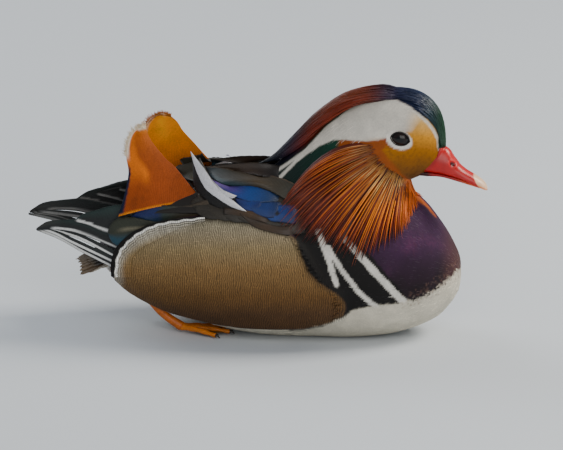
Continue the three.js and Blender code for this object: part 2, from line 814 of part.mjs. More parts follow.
function tailFeather(way) {
  const spread = way * TAIL_SPREAD;
  const out = new THREE.Vector3(-0.4, way * 0.45, 1).normalize();
  const place = (t) => {
    const reach = TAIL_REACH * mix(1, 0.9, Math.abs(way)) * t;
    const at = TAIL_ROOT.clone();
    at.x -= Math.cos(spread) * reach;
    at.y += Math.sin(spread) * reach + 9 * way;
    at.z += -6.5 * way * way - 1.5 * Math.abs(way) - reach * mix(0.42, 0.5, t);
    return { at, out };
  };
  return vane(place, rounded(5), 1.2, 3);
}

// A block over everything behind or ahead of a place along the body.
function blockPast(x, way) {
  return geometryToSolid(new THREE.BoxGeometry(500, 500, 500).translate(x + way * 250, 0, 0));
}

function tailSolid() {
  const feathers = steps(TAIL_FEATHERS - 1).map((share) => tailFeather(mix(-1, 1, share)));
  const rump = torsoWhole.subtract(blockPast(TAIL_PART_X - GAP, 1));
  return join([rump, ...feathers]).subtract(blockPast(TAIL_PART_X - GAP, 1));
}

// Leg: the shank folded under the rear of the belly, with the webbed foot pointing forward.
const HEEL = [-86, 27, 25];
const ANKLE = [-64, 26.5, 4.4];
const TOES = [
  [-32, 14, 1.7],
  [-27, 27, 1.7],
  [-36, 39, 1.7],
];

function limb(points, radii, sides, rings) {
  const line = route(points);
  return loft(
    steps(rings).map((t) => {
      const place = line(t);
      const along = line(Math.min(1, t + 0.01)).sub(line(Math.max(0, t - 0.01))).normalize();
      const across = new THREE.Vector3(0, 0, 1).cross(along).normalize();
      const up = along.clone().cross(across);
      const radius = mix(radii[0], radii[1], t);
      return steps(sides - 1).map((_, i) => {
        const angle = (2 * Math.PI * i) / sides;
        return place
          .clone()
          .addScaledVector(across, Math.cos(angle) * radius)
          .addScaledVector(up, Math.sin(angle) * radius);
      });
    }),
  );
}

function legSolid(side) {
  const flip = ([x, y, z]) => [x, y * side, z];
  const shank = limb([HEEL, ANKLE].map(flip), [3.6, 3.2], 6, 2);
  const toes = TOES.map((toe) => limb([ANKLE, toe].map(flip), [2.8, 1.5], 5, 2));
  const webs = [0, 1].map((k) => {
    const face = (out) => (u, v) => {
      const root = new THREE.Vector3(...flip(ANKLE));
      const tip = new THREE.Vector3(...flip(TOES[k])).lerp(new THREE.Vector3(...flip(TOES[k + 1])), u);
      const p = root.lerp(tip, mix(0.12, 0.94 - 0.12 * Math.sin(Math.PI * u), v));
      p.z = mix(2.4, 1.5, v) + (out ? 0.5 : -0.5);
      return p;
    };
    return slab(3, 2, face(true), face(false));
  });
  return join([shank, ...toes, ...webs]);
}

// The ground cuts whatever would reach below it.
const groundBlock = geometryToSolid(
  new THREE.BoxGeometry(500, 500, 100).translate(0, 0, GROUND - 50),
);
const onGround = (solid) => solid.subtract(groundBlock);

// Pieces that come in pairs stay on their own side of the middle plane.
function ownSide(solid, side) {
  const block = new THREE.BoxGeometry(500, 100, 500).translate(0, side * -50 + (side * GAP) / 2, 0);
  return solid.subtract(geometryToSolid(block));
}

// Assembly
const model = new THREE.Group();

function add(name, solid, colour, roughness = 0.7) {
  const mesh = toMesh(weld(largest(solid)));
  mesh.name = name;
  mesh.material = new THREE.MeshStandardMaterial({ color: colour, roughness, metalness: 0 });
  model.add(mesh);
}

const lessAll = (solid, cutters) => cutters.reduce((rest, cutter) => rest.subtract(cutter), solid);

const torsoRoom = room(torsoWhole);
const headRoom = room(headWhole);
const neckRoom = room(neckWhole);
const eyes = [RIGHT, LEFT].map(eyeBall);
const lids = [RIGHT, LEFT].map(lidRing);
const head = lessAll(join([headWhole, ...lids]), [torsoRoom, ...eyes.map(room)]);
const upperWhole = billSolid(UPPER_BILL, 12, 14, "under");
const upperBill = lessAll(upperWhole, [headRoom, nostril(RIGHT), nostril(LEFT)]);
const lowerBill = lessAll(billSolid(LOWER_BILL, 8, 12, "top"), [headRoom, room(upperWhole)]);
const crestWhole = crestSolid();
const crestRoom = room(crestWhole);
const mantleWhole = mantleSolid();
const mantleRoom = room(mantleWhole);
const tail = tailSolid();
const tailRoom = room(tail);

add("torso", onGround(torsoWhole.subtract(blockPast(TAIL_PART_X, -1))), COLOURS.breast);
add("neck", lessAll(neckWhole, [torsoRoom, headRoom]), COLOURS.neck);
add("head", head, COLOURS.cheek);
add("bill_upper", upperBill, COLOURS.bill, 0.35);
add("bill_lower", lowerBill, COLOURS.bill, 0.35);
add("crest", lessAll(crestWhole, [headRoom, neckRoom, torsoRoom]), COLOURS.crest);
add("mantle", lessAll(mantleWhole, [torsoRoom, neckRoom, crestRoom]), COLOURS.mantle);
add("tail", tail, COLOURS.tail);

for (const [side, word, eye] of [
  [RIGHT, "right", eyes[0]],
  [LEFT, "left", eyes[1]],
]) {
  add(`eye_${word}`, eye, COLOURS.eye, 0.1);
  const ruffWhole = ruffSolid(side);
  const ruffRoom = room(ruffWhole);
  const ruff = lessAll(ruffWhole, [headRoom, neckRoom, torsoRoom, crestRoom]);
  add(`ruff_${word}`, ownSide(ruff, side), COLOURS.ruff);
  const primariesWhole = primariesSolid(side);
  const primariesRoom = room(primariesWhole);
  const primaries = lessAll(primariesWhole, [torsoRoom, tailRoom]);
  add(`primaries_${word}`, primaries, COLOURS.primaries);
  const flankWhole = flankSolid(side);
  const flankRoom = room(flankWhole);
  add(`flank_${word}`, lessAll(flankWhole, [torsoRoom, ruffRoom, primariesRoom]), COLOURS.flank);
  const wingWhole = wingSolid(side);
  const wingRoom = room(wingWhole);
  const wingCut = [torsoRoom, neckRoom, crestRoom, ruffRoom, flankRoom, mantleRoom, primariesRoom];
  add(`wing_${word}`, ownSide(lessAll(wingWhole, wingCut), side), COLOURS.wing);
  const sailCut = [torsoRoom, wingRoom, flankRoom, mantleRoom, primariesRoom];
  add(`sail_${word}`, lessAll(sailSolid(side), sailCut), COLOURS.sail);
  add(`leg_${word}`, onGround(lessAll(legSolid(side), [torsoRoom, flankRoom])), COLOURS.foot);
}

export default model;
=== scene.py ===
import math

import bmesh
import bpy
import numpy as np
from mathutils import Matrix, Vector
from mathutils.bvhtree import BVHTree
from mathutils.noise import noise as smooth_noise


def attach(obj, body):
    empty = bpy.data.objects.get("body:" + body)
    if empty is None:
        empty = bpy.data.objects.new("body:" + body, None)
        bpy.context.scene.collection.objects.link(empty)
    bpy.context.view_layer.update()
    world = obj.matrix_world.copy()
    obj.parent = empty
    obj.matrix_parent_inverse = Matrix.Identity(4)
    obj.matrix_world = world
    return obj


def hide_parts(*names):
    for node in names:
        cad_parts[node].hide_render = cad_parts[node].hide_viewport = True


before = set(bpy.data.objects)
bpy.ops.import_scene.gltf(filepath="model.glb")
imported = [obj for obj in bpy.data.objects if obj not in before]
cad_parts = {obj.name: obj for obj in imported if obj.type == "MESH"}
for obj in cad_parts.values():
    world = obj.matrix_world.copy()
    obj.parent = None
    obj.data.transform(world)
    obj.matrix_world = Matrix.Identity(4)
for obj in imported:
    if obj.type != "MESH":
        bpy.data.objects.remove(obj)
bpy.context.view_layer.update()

# The view: a long lens a little above the bird and a little behind its right shoulder.
# The picture is 563 units wide, and each unit is 0.76 mm at the bird.
MM = 0.001
RIGHT, LEFT = -1, 1
SIDES = ((RIGHT, "right"), (LEFT, "left"))
TURN = math.radians(8)
RISE = math.radians(16)
UNIT = 0.76 * MM
LENS_MM = 800
SENSOR_MM = 36
PICTURE = (563, 450)
ORIGIN_IN_PICTURE = (270, 326)
to_right = Vector((math.cos(TURN), math.sin(TURN), 0))
to_top = Vector((-math.sin(TURN) * math.sin(RISE), math.cos(TURN) * math.sin(RISE), math.cos(RISE)))
to_viewer = to_right.cross(to_top)
viewing_distance = LENS_MM / SENSOR_MM * PICTURE[0] * UNIT
middle = (
    to_right * (PICTURE[0] / 2 - ORIGIN_IN_PICTURE[0]) * UNIT
    + to_top * (ORIGIN_IN_PICTURE[1] - PICTURE[1] / 2) * UNIT
)
lens = bpy.data.cameras.new("view")
lens.lens = LENS_MM
lens.sensor_width = SENSOR_MM
lens.clip_end = 20
camera = bpy.data.objects.new("view", lens)
axes = Matrix((to_right, to_top, to_viewer)).transposed().to_4x4()
camera.matrix_world = Matrix.Translation(middle + to_viewer * viewing_distance) @ axes
bpy.context.collection.objects.link(camera)
bpy.context.scene.camera = camera

# The light: a broad low sun from the front right, a soft fill, and a pale sky.
# Every lamp is a large square, so that shadows stay soft.
# name, place and size in metres, watts, tint
LAMPS = (
    ("sun", (1.5, 0.5, 1.5), 0.9, 46, (1.0, 0.95, 0.86)),
    ("front", (0.7, -1.9, 1.1), 1.6, 26, (1.0, 0.98, 0.95)),
    ("back", (-1.5, 1.2, 1.3), 1.2, 18, (0.95, 0.97, 1.0)),
)
BREAST_HIGH = Vector((0, 0, 0.08))
for name, place, size, watts, tint in LAMPS:
    data = bpy.data.lights.new(name, "AREA")
    data.size = size
    data.energy = watts
    data.color = tint
    lamp = bpy.data.objects.new(name, data)
    lamp.location = place
    lamp.rotation_euler = (BREAST_HIGH - Vector(place)).to_track_quat("-Z", "Y").to_euler()
    bpy.context.collection.objects.link(lamp)
sky = bpy.data.worlds.new("sky")
sky.use_nodes = True
sky.node_tree.nodes["Background"].inputs["Color"].default_value = (0.78, 0.83, 0.9, 1)
sky.node_tree.nodes["Background"].inputs["Strength"].default_value = 0.42
bpy.context.scene.world = sky


# The floor: one plain pale sheet that the bird stands on.
# It isn't part of the bird.
FLOOR_HALF = 6
FLOOR_DROP = 0.2 * MM


def mesh_piece(name, points, faces, material=None):
    """An object at the origin whose mesh has these points, in metres, and faces."""
    mesh = bpy.data.meshes.new(name)
    mesh.from_pydata([tuple(p) for p in points], [], [tuple(f) for f in faces])
    mesh.validate()
    mesh.shade_smooth()
    piece = bpy.data.objects.new(name, mesh)
    bpy.context.collection.objects.link(piece)
    if material:
        mesh.materials.append(material)
    return piece


FLOOR_CORNERS = ((-1, -1), (1, -1), (1, 1), (-1, 1))
floor_points = [(x * FLOOR_HALF, y * FLOOR_HALF, -FLOOR_DROP) for x, y in FLOOR_CORNERS]
floor_finish = bpy.data.materials.new("pale_floor")
floor_finish.use_nodes = True
shader = floor_finish.node_tree.nodes["Principled BSDF"]
shader.inputs["Base Color"].default_value = (0.62, 0.66, 0.7, 1)
shader.inputs["Roughness"].default_value = 0.8
floor = mesh_piece("floor", floor_points, [(0, 1, 2, 3)], floor_finish)


# The skin: one body from the rump to the forehead, which the small feathers grow from.
# Its sections are smooth tables in millimetres, and it lies inside the bird's outline by the coat's depth.
# x, bottom, top, half width, height of the widest line, fullness above and below it
TORSO = (
    (-132, 49, 59, 7, 54, 2, 2),
    (-126, 42, 68, 17, 55, 2, 2),
    (-114, 32, 82, 29, 57, 2, 2),
    (-98, 21.5, 97, 41, 58, 2, 2),
    (-76, 11, 109, 52, 60, 2.05, 2.1),
    (-46, 3.5, 118, 60, 60, 2.1, 2.2),
    (-22, -1, 121, 63, 58, 2.1, 2.3),
    (0, -3.5, 122, 63.5, 57, 2.1, 2.3),
    (30, -4, 121.5, 63, 56, 2.1, 2.2),
    (66, -3.5, 119, 60, 54, 2.1, 2.2),
    (94, -0.5, 115, 53.5, 52, 2.1, 2.1),
    (115, 6, 105.5, 44, 50, 2.1, 2.1),
    (130, 14, 88.5, 33, 48.5, 2, 2),
    (139, 24, 74.5, 22.5, 48.5, 2, 2),
    (144.5, 34, 63, 12, 49, 2, 2),
    (146.5, 43, 55, 4, 49, 2, 2),
)
RUMP_X, BREAST_X = TORSO[0][0], TORSO[-1][0]
# order, x and z of the top, x and z of the bottom, half width, share of the widest line, fullnesses
HEAD = (
    (0, 134, 144.5, 121, 127, 9, 0.46, 2.2, 2.2),
    (1, 133, 161, 114, 122.5, 13.5, 0.46, 2.2, 2.1),
    (2, 129, 174.5, 109, 120, 17.5, 0.48, 2.1, 2),
    (3, 120.5, 184.5, 106, 118.5, 20.5, 0.5, 2.1, 2),
    (4, 108, 190, 104.5, 116, 22.5, 0.48, 2.1, 2),
    (5, 91, 190.5, 104.5, 113, 23.5, 0.46, 2, 2),
    (6, 71.5, 184.5, 105.5, 110, 25.5, 0.44, 1.9, 2),
    (7, 50, 173, 107, 106, 29, 0.42, 1.8, 2),
    (8, 29, 155, 109, 102, 34, 0.4, 1.8, 2),
    (9, 10, 135, 112, 97, 39, 0.4, 1.9, 2),
    (10, -8, 118, 116, 92, 43, 0.4, 2, 2),
)
HEAD_LAST = 10
# x, top, bottom
FLANK = (
    (-118, 48, 44),
    (-115.5, 56, 38),
    (-113, 66, 34),
    (-104, 77.5, 28),
    (-90, 87, 23),
    (-76, 92, 19),
    (-56, 96, 15.5),
    (-36, 98, 13),
    (-7, 96, 12),
    (10, 92, 12),
    (28, 87, 13),
    (38, 77, 15),
    (46, 64, 17),
    (56, 53, 20),
    (68, 42, 26),
)
FLANK_RISE = 4.2
COAT_DEPTH = 1.2
GROUND_CLEAR = 0.4
SKIN_VOXEL = 1.35 * MM
SKIN_SMOOTHING = 12


def table(rows, at):
    """Smooth values between the rows of a table, by its first column."""
    rows = np.array(rows, float)
    at = np.atleast_1d(np.asarray(at, float))
    last = len(rows) - 1
    i = np.clip(np.searchsorted(rows[:, 0], at, side="right") - 1, 0, last - 1)
    a, b = rows[i], rows[i + 1]
    before, after = rows[np.maximum(i - 1, 0)], rows[np.minimum(i + 2, last)]
    span = (b[:, 0] - a[:, 0])[:, None]
    t = np.clip((at[:, None] - a[:, :1]) / span, 0, 1)
    leave = (b - before) / (b[:, :1] - before[:, :1]) * span
    arrive = (after - a) / (after[:, :1] - a[:, :1]) * span
    t2, t3 = t * t, t * t * t
    return (2 * t3 - 3 * t2 + 1) * a + (t3 - 2 * t2 + t) * leave + (3 * t2 - 2 * t3) * b + (t3 - t2) * arrive


def rounded_power(value, fullness):
    return np.sign(value) * np.abs(value) ** (2 / fullness)


def ease(value, low, high):
    """0 below low and 1 above high, with soft ends."""
    t = np.clip((value - low) / (high - low), 0, 1)
    return t * t * (3 - 2 * t)


def torso_at(x, angle, grow=0.0):
    """Places on the torso, in mm, at x and an angle that is 0 at its left and 90 degrees on top."""
    x, angle, grow = np.broadcast_arrays(np.asarray(x, float), angle, grow)
    row = table(TORSO, x.ravel())
    c, s = np.cos(angle).ravel(), np.sin(angle).ravel()
    full = np.where(s >= 0, row[:, 5], row[:, 6])
    reach = np.where(s >= 0, row[:, 2] - row[:, 4], row[:, 4] - row[:, 1]) + grow.ravel()
    y = rounded_power(c, full) * (row[:, 3] + grow.ravel())
    z = row[:, 4] + rounded_power(s, full) * reach
    return np.stack([x.ravel(), y, z], 1)


def head_at(order, angle, grow=0.0):
    """Places on the head and neck, in mm: order runs from bill to back, the angle as on the torso."""
    order, angle, grow = np.broadcast_arrays(np.asarray(order, float), angle, grow)
    row = table(HEAD, order.ravel())
    c, s = np.cos(angle).ravel(), np.sin(angle).ravel()
    full = np.where(s >= 0, row[:, 7], row[:, 8])
    share = row[:, 6] + rounded_power(s, full) * np.where(s >= 0, 1 - row[:, 6], row[:, 6])
    along = np.stack([row[:, 1] - row[:, 3], row[:, 2] - row[:, 4]], 1)
    high = np.linalg.norm(along, axis=1)
    share = 0.5 + (share - 0.5) * (1 + 2 * grow.ravel() / high)
    x = row[:, 3] + along[:, 0] * share
    z = row[:, 4] + along[:, 1] * share
    return np.stack([x, rounded_power(c, full) * (row[:, 5] + grow.ravel()), z], 1)


def flank_cover(x, z, soft=2.5):
    """1 where the long side feathers cover the body and 0 elsewhere."""
    row = table(FLANK, x)
    inside = np.minimum(row[:, 1] - z, 1.6 * (z - row[:, 2]))
    ends = np.minimum(x + 119, 66 - x)
    return ease(np.minimum(inside, 1.2 * ends), -soft, soft)


def tube_faces(rings, sides):
    faces = []
    for j in range(rings - 1):
        for i in range(sides):
            k = (i + 1) % sides
            faces.append((j * sides + i, j * sides + k, (j + 1) * sides + k, (j + 1) * sides + i))
    faces.append(tuple(reversed(range(sides))))
    faces.append(tuple((rings - 1) * sides + i for i in range(sides)))
    return faces


SKIN_SIDES = 96
TORSO_RINGS, HEAD_RINGS = 120, 90
ring_angles = np.linspace(0, 2 * np.pi, SKIN_SIDES, endpoint=False)
share = np.linspace(0, 1, TORSO_RINGS)
eased = (1 - np.cos(np.pi * share)) / 2
torso_x = RUMP_X + 1 + (BREAST_X - RUMP_X - 2) * (0.3 * share + 0.7 * eased)
grid_x, grid_angle = np.meshgrid(torso_x, ring_angles, indexing="ij")
bare = torso_at(grid_x, grid_angle)
side_rise = FLANK_RISE * flank_cover(bare[:, 0], bare[:, 2])
torso_points = torso_at(grid_x.ravel(), grid_angle.ravel(), side_rise - COAT_DEPTH)
grid_order, grid_angle = np.meshgrid(np.linspace(0, HEAD_LAST, HEAD_RINGS), ring_angles, indexing="ij")
head_points = head_at(grid_order.ravel(), grid_angle.ravel(), -COAT_DEPTH)
faces = tube_faces(TORSO_RINGS, SKIN_SIDES)
offset = len(torso_points)
faces += [tuple(i + offset for i in f) for f in tube_faces(HEAD_RINGS, SKIN_SIDES)]
skin = mesh_piece("skin", np.concatenate([torso_points, head_points]) * MM, faces)


def apply_modifiers(piece):
    """The piece's mesh as its modifiers leave it, and the modifiers gone."""
    depsgraph = bpy.context.evaluated_depsgraph_get()
    made = bpy.data.meshes.new_from_object(piece.evaluated_get(depsgraph))
    piece.modifiers.clear()
    piece.data = made
    made.name = piece.name
    made.shade_smooth()
    return piece


remesh = skin.modifiers.new("one body", "REMESH")
remesh.mode = "VOXEL"
remesh.voxel_size = SKIN_VOXEL
blend = skin.modifiers.new("blend", "SMOOTH")
blend.factor = 0.5
blend.iterations = SKIN_SMOOTHING
apply_modifiers(skin)


def points_of(piece):
    """The piece's points in mm."""
    flat = np.empty(len(piece.data.vertices) * 3)
    piece.data.vertices.foreach_get("co", flat)
    return flat.reshape(-1, 3) / MM


def set_points(piece, points):
    piece.data.vertices.foreach_set("co", (points * MM).ravel())
    piece.data.update()


skin_points = points_of(skin)
skin_points[:, 2] = np.maximum(skin_points[:, 2], GROUND_CLEAR)
set_points(skin, skin_points)
skin_tree = BVHTree.FromObject(skin, bpy.context.evaluated_depsgraph_get())


# Markings: where each colour of the plumage lies, as closed outlines on one drawing of the bird's side.
# The drawing is made square to the view, in the picture's units, and both sides of the bird share it.
def drawn(points):
    """Where places in mm on either side of the bird fall on the drawing of its right side."""
    x, y, z = points[:, 0], -np.abs(points[:, 1]), points[:, 2]
    unit = UNIT / MM
    across = ORIGIN_IN_PICTURE[0] + (x * to_right[0] + y * to_right[1]) / unit
    down = ORIGIN_IN_PICTURE[1] - (x * to_top[0] + y * to_top[1] + z * to_top[2]) / unit
    return np.stack([across, down], 1)


def beside(spots, line):
    """How far each spot is from an open line."""
    line = np.array(line, float)
    best = np.full(len(spots), 1e9)
    for a, b in zip(line[:-1], line[1:]):
        edge = b - a
        t = np.clip(((spots - a) @ edge) / (edge @ edge), 0, 1)
        best = np.minimum(best, np.linalg.norm(spots - a - t[:, None] * edge, axis=1))
    return best


def inside_by(spots, outline):
    """How far inside a closed outline each spot is, and below 0 outside it."""
    closed = np.array((*outline, outline[0]), float)
    crossings = np.zeros(len(spots), int)
    for a, b in zip(closed[:-1], closed[1:]):
        spans = (a[1] > spots[:, 1]) != (b[1] > spots[:, 1])
        with np.errstate(divide="ignore", invalid="ignore"):
            cut = a[0] + (spots[:, 1] - a[1]) * (b - a)[0] / (b - a)[1]
        crossings += spans & (spots[:, 0] < cut)
    gap = beside(spots, closed)
    return np.where(crossings % 2 == 1, gap, -gap)


RICHNESS = 1.22


def colour(code):
    """A colour written as on paper, six hex digits, as the shader takes it."""
    parts = np.array([int(code[i : i + 2], 16) for i in (0, 2, 4)]) / 255
    parts = np.where(parts <= 0.04045, parts / 12.92, ((parts + 0.055) / 1.055) ** 2.4)
    return np.clip(parts.mean() + (parts - parts.mean()) * RICHNESS, 0.002, 1)


def ramp(value, stops):
    """Colours between stops of (value, colour code)."""
    at = [s[0] for s in stops]
    codes = np.array([colour(s[1]) for s in stops])
    return np.stack([np.interp(value, at, codes[:, k]) for k in range(3)], 1)


def over(under, top, share):
    """Colours under a coat of another colour, or of a colour code, that hides this share of them."""
    share = np.clip(share, 0, 1)[..., None]
    top = colour(top) if isinstance(top, str) else np.asarray(top)
    return under * (1 - share) + top * share


def patchy(points, size, seed=0.0):
    """A soft unevenness from -1 to 1 that changes over about this many mm."""
    shift = Vector((seed, 2.3 * seed, -1.7 * seed))
    return np.array([smooth_noise(Vector(p) / size + shift) for p in points])


WHITE_BAND = (
    (419.4, 116.8), (409, 108.2), (395.3, 101.3), (379.8, 99.3), (366, 100.5), (350.5, 108.2),
    (336.8, 118.5), (326.4, 126.3), (316.1, 137.5), (305.8, 148.7), (298.9, 153.9), (286.8, 162.6),
    (274.8, 170.3), (262, 175.4), (263, 177.8), (276.5, 173.2), (288.6, 165), (294.2, 160.8),
    (285.1, 170.2), (275.8, 179.2), (279.5, 181), (287.4, 172.3), (295.8, 163.7), (307.5, 154.2),
    (319.5, 146.4), (333.3, 140.3), (347.1, 140.6), (364.3, 141.8), (378.1, 140.9), (388, 138),
    (396, 133), (411, 133), (416, 126), (421, 120),
)  # fmt: skip
CROWN = (
    (436.5, 150), (437.5, 138), (434, 129), (427, 120.5), (419.8, 116), (409.4, 107.4), (395.5, 100.5),
    (379.8, 98.4), (366, 99.6), (350, 107.2), (336.2, 117.5), (325.8, 125.3), (315.4, 136.7),
    (305, 147.8), (297.6, 153), (285.6, 161.7), (273, 169.6), (260, 174), (240, 165), (300, 100),
    (340, 75), (390, 68), (440, 80), (455, 120), (452, 150),
)  # fmt: skip
# The line along the top of the crown and the forehead's outline where a painted highlight lies.
CROWN_RIM_HIGHLIGHT = (
    (366, 100.6), (380, 99.4), (395.5, 101.5), (409.2, 108.4), (419.6, 117), (427, 124), (433, 132),
    (437, 140), (438, 149),
)  # fmt: skip
FACE = (
    (452, 152), (440, 120), (428, 110), (412, 108), (407, 122), (408, 138), (398, 148), (386, 146),
    (381, 150), (386, 158), (394, 168), (404, 178), (414, 184), (426, 176), (436, 160),
)  # fmt: skip
EYE_SPOT = (399.2, 139.6)
CROWN_COLOURS = (
    (258, "0a1214"), (276, "0e1422"), (292, "1b1426"), (306, "3e1a14"), (322, "5e2a12"), (345, "663012"),
    (366, "5a281a"), (384, "2c1c2c"), (398, "161a34"), (410, "131c36"), (420, "101f3a"), (430, "0c2630"),
    (438, "0a2a1e"), (446, "10341c"),
)  # fmt: skip
# The breast's own purple, a lighter purple for its painted sheen, and a dark one for its painted shade.
BREAST_BASE, BREAST_PAINTED_SHEEN = colour("38203a"), colour("5e3350")
BREAST_PAINTED_SHADE = colour("1c1218")
BREAST_BROWN = colour("4a3030")
BELLY = colour("cfc9ba")
STRIPES = (
    (((318, 230), (323, 246), (329, 261), (332.5, 273.5), (336, 284)), 2.7),
    (((328, 247), (332.5, 256), (342.5, 271.5), (358.5, 292), (371, 303), (384, 311)), 2.3),
    (((343, 236), (354, 249), (368.5, 266), (381, 279), (393, 292), (404, 302), (411, 307)), 3.4),
)
STRIPE_FIELD = (
    (288, 226), (296, 240), (302.5, 258), (308, 271), (320, 283), (334, 291.5), (343, 299), (347, 307),
    (343, 316), (330, 323), (310, 328), (310, 340), (440, 340), (425, 310), (406, 297), (392, 281),
    (376, 263), (360, 243), (350, 226), (318, 222),
)  # fmt: skip
WATER_LINE = (
    (200, 331), (300, 330), (322, 326), (343, 317), (352, 309), (372, 306), (400, 302), (420, 297),
    (434, 290), (445, 281), (453, 274), (462, 266), (480, 262), (480, 370), (200, 370),
)  # fmt: skip
THROAT = (
    (403, 174), (416, 178), (422, 189), (430, 202), (440, 220), (434, 217), (424, 206), (414, 200),
    (404, 205),
)  # fmt: skip
LORES = ((436, 168), (428, 173), (418, 178))
COPPER_PATCH = ((380, 141), (400, 146), (404, 160), (420, 190), (330, 190), (340, 141))
FLANK_REAR = (
    (112, 280), (111, 264), (120, 246), (134.3, 235.4), (152, 226.4), (171.8, 220.2), (191.4, 217.5),
    (205, 216.5),
)  # fmt: skip
PANEL_COLOURS = (
    (218, "85806f"), (232, "867c69"), (250, "857458"), (270, "7a6143"), (296, "5f462c"), (314, "4a3625"),
)  # fmt: skip
FACE_COLOURS = (
    (112, "d6bf9c"), (124, "c9a26a"), (138, "c28a45"), (150, "a06a2a"), (162, "84562a"), (178, "5c3d1e"),
)  # fmt: skip
BLACK = colour("0f0d0c")
WHITE = colour("dcd8d0")
BAR_BOW, BAR_MIDDLE_Z = 0.0035, 52


def flank_colours(points):
    """The buff side panel, greyer above, with a black and a white line round its rear end."""
    spots = drawn(points)
    x, z = points[:, 0], points[:, 2]
    shade = ramp(spots[:, 1], PANEL_COLOURS)
    row = table(FLANK, x)
    depth = row[:, 1] - z
    wobble = 0.5 * patchy(points, 5, 3.0)
    edge = beside(spots, FLANK_REAR) + 0.6 * wobble
    at_rear = 1 - ease(spots[:, 0], 172, 200)
    shade = over(shade, "b9b4a8", (1 - ease(edge, 6, 16)) * at_rear * 0.5)
    top_fringe = (1 - ease(depth + 1.8 * wobble, 0.2, 3.6)) * (1 - at_rear)
    shade = over(shade, "3a332c", top_fringe * 0.7)
    front = -inside_by(spots, STRIPE_FIELD) + 1.4 * wobble
    at_front = ease(x, 14, 24)
    shade = over(shade, "4a3a28", (1 - ease(front, 1.0, 6)) * at_front * 0.6)
    shade = over(shade, BLACK, (1 - ease(front, -0.8, 1.4)) * at_front)
    low = inside_by(spots, WATER_LINE) + 2.0 * wobble
    return over(shade, BELLY, ease(low, -2, 2) * at_front)


def bar_reach(points):
    """How far along the side panel a place is, in mm: the fine bars run across this, a little bowed."""
    return points[:, 0] + BAR_BOW * (points[:, 2] - BAR_MIDDLE_Z) ** 2


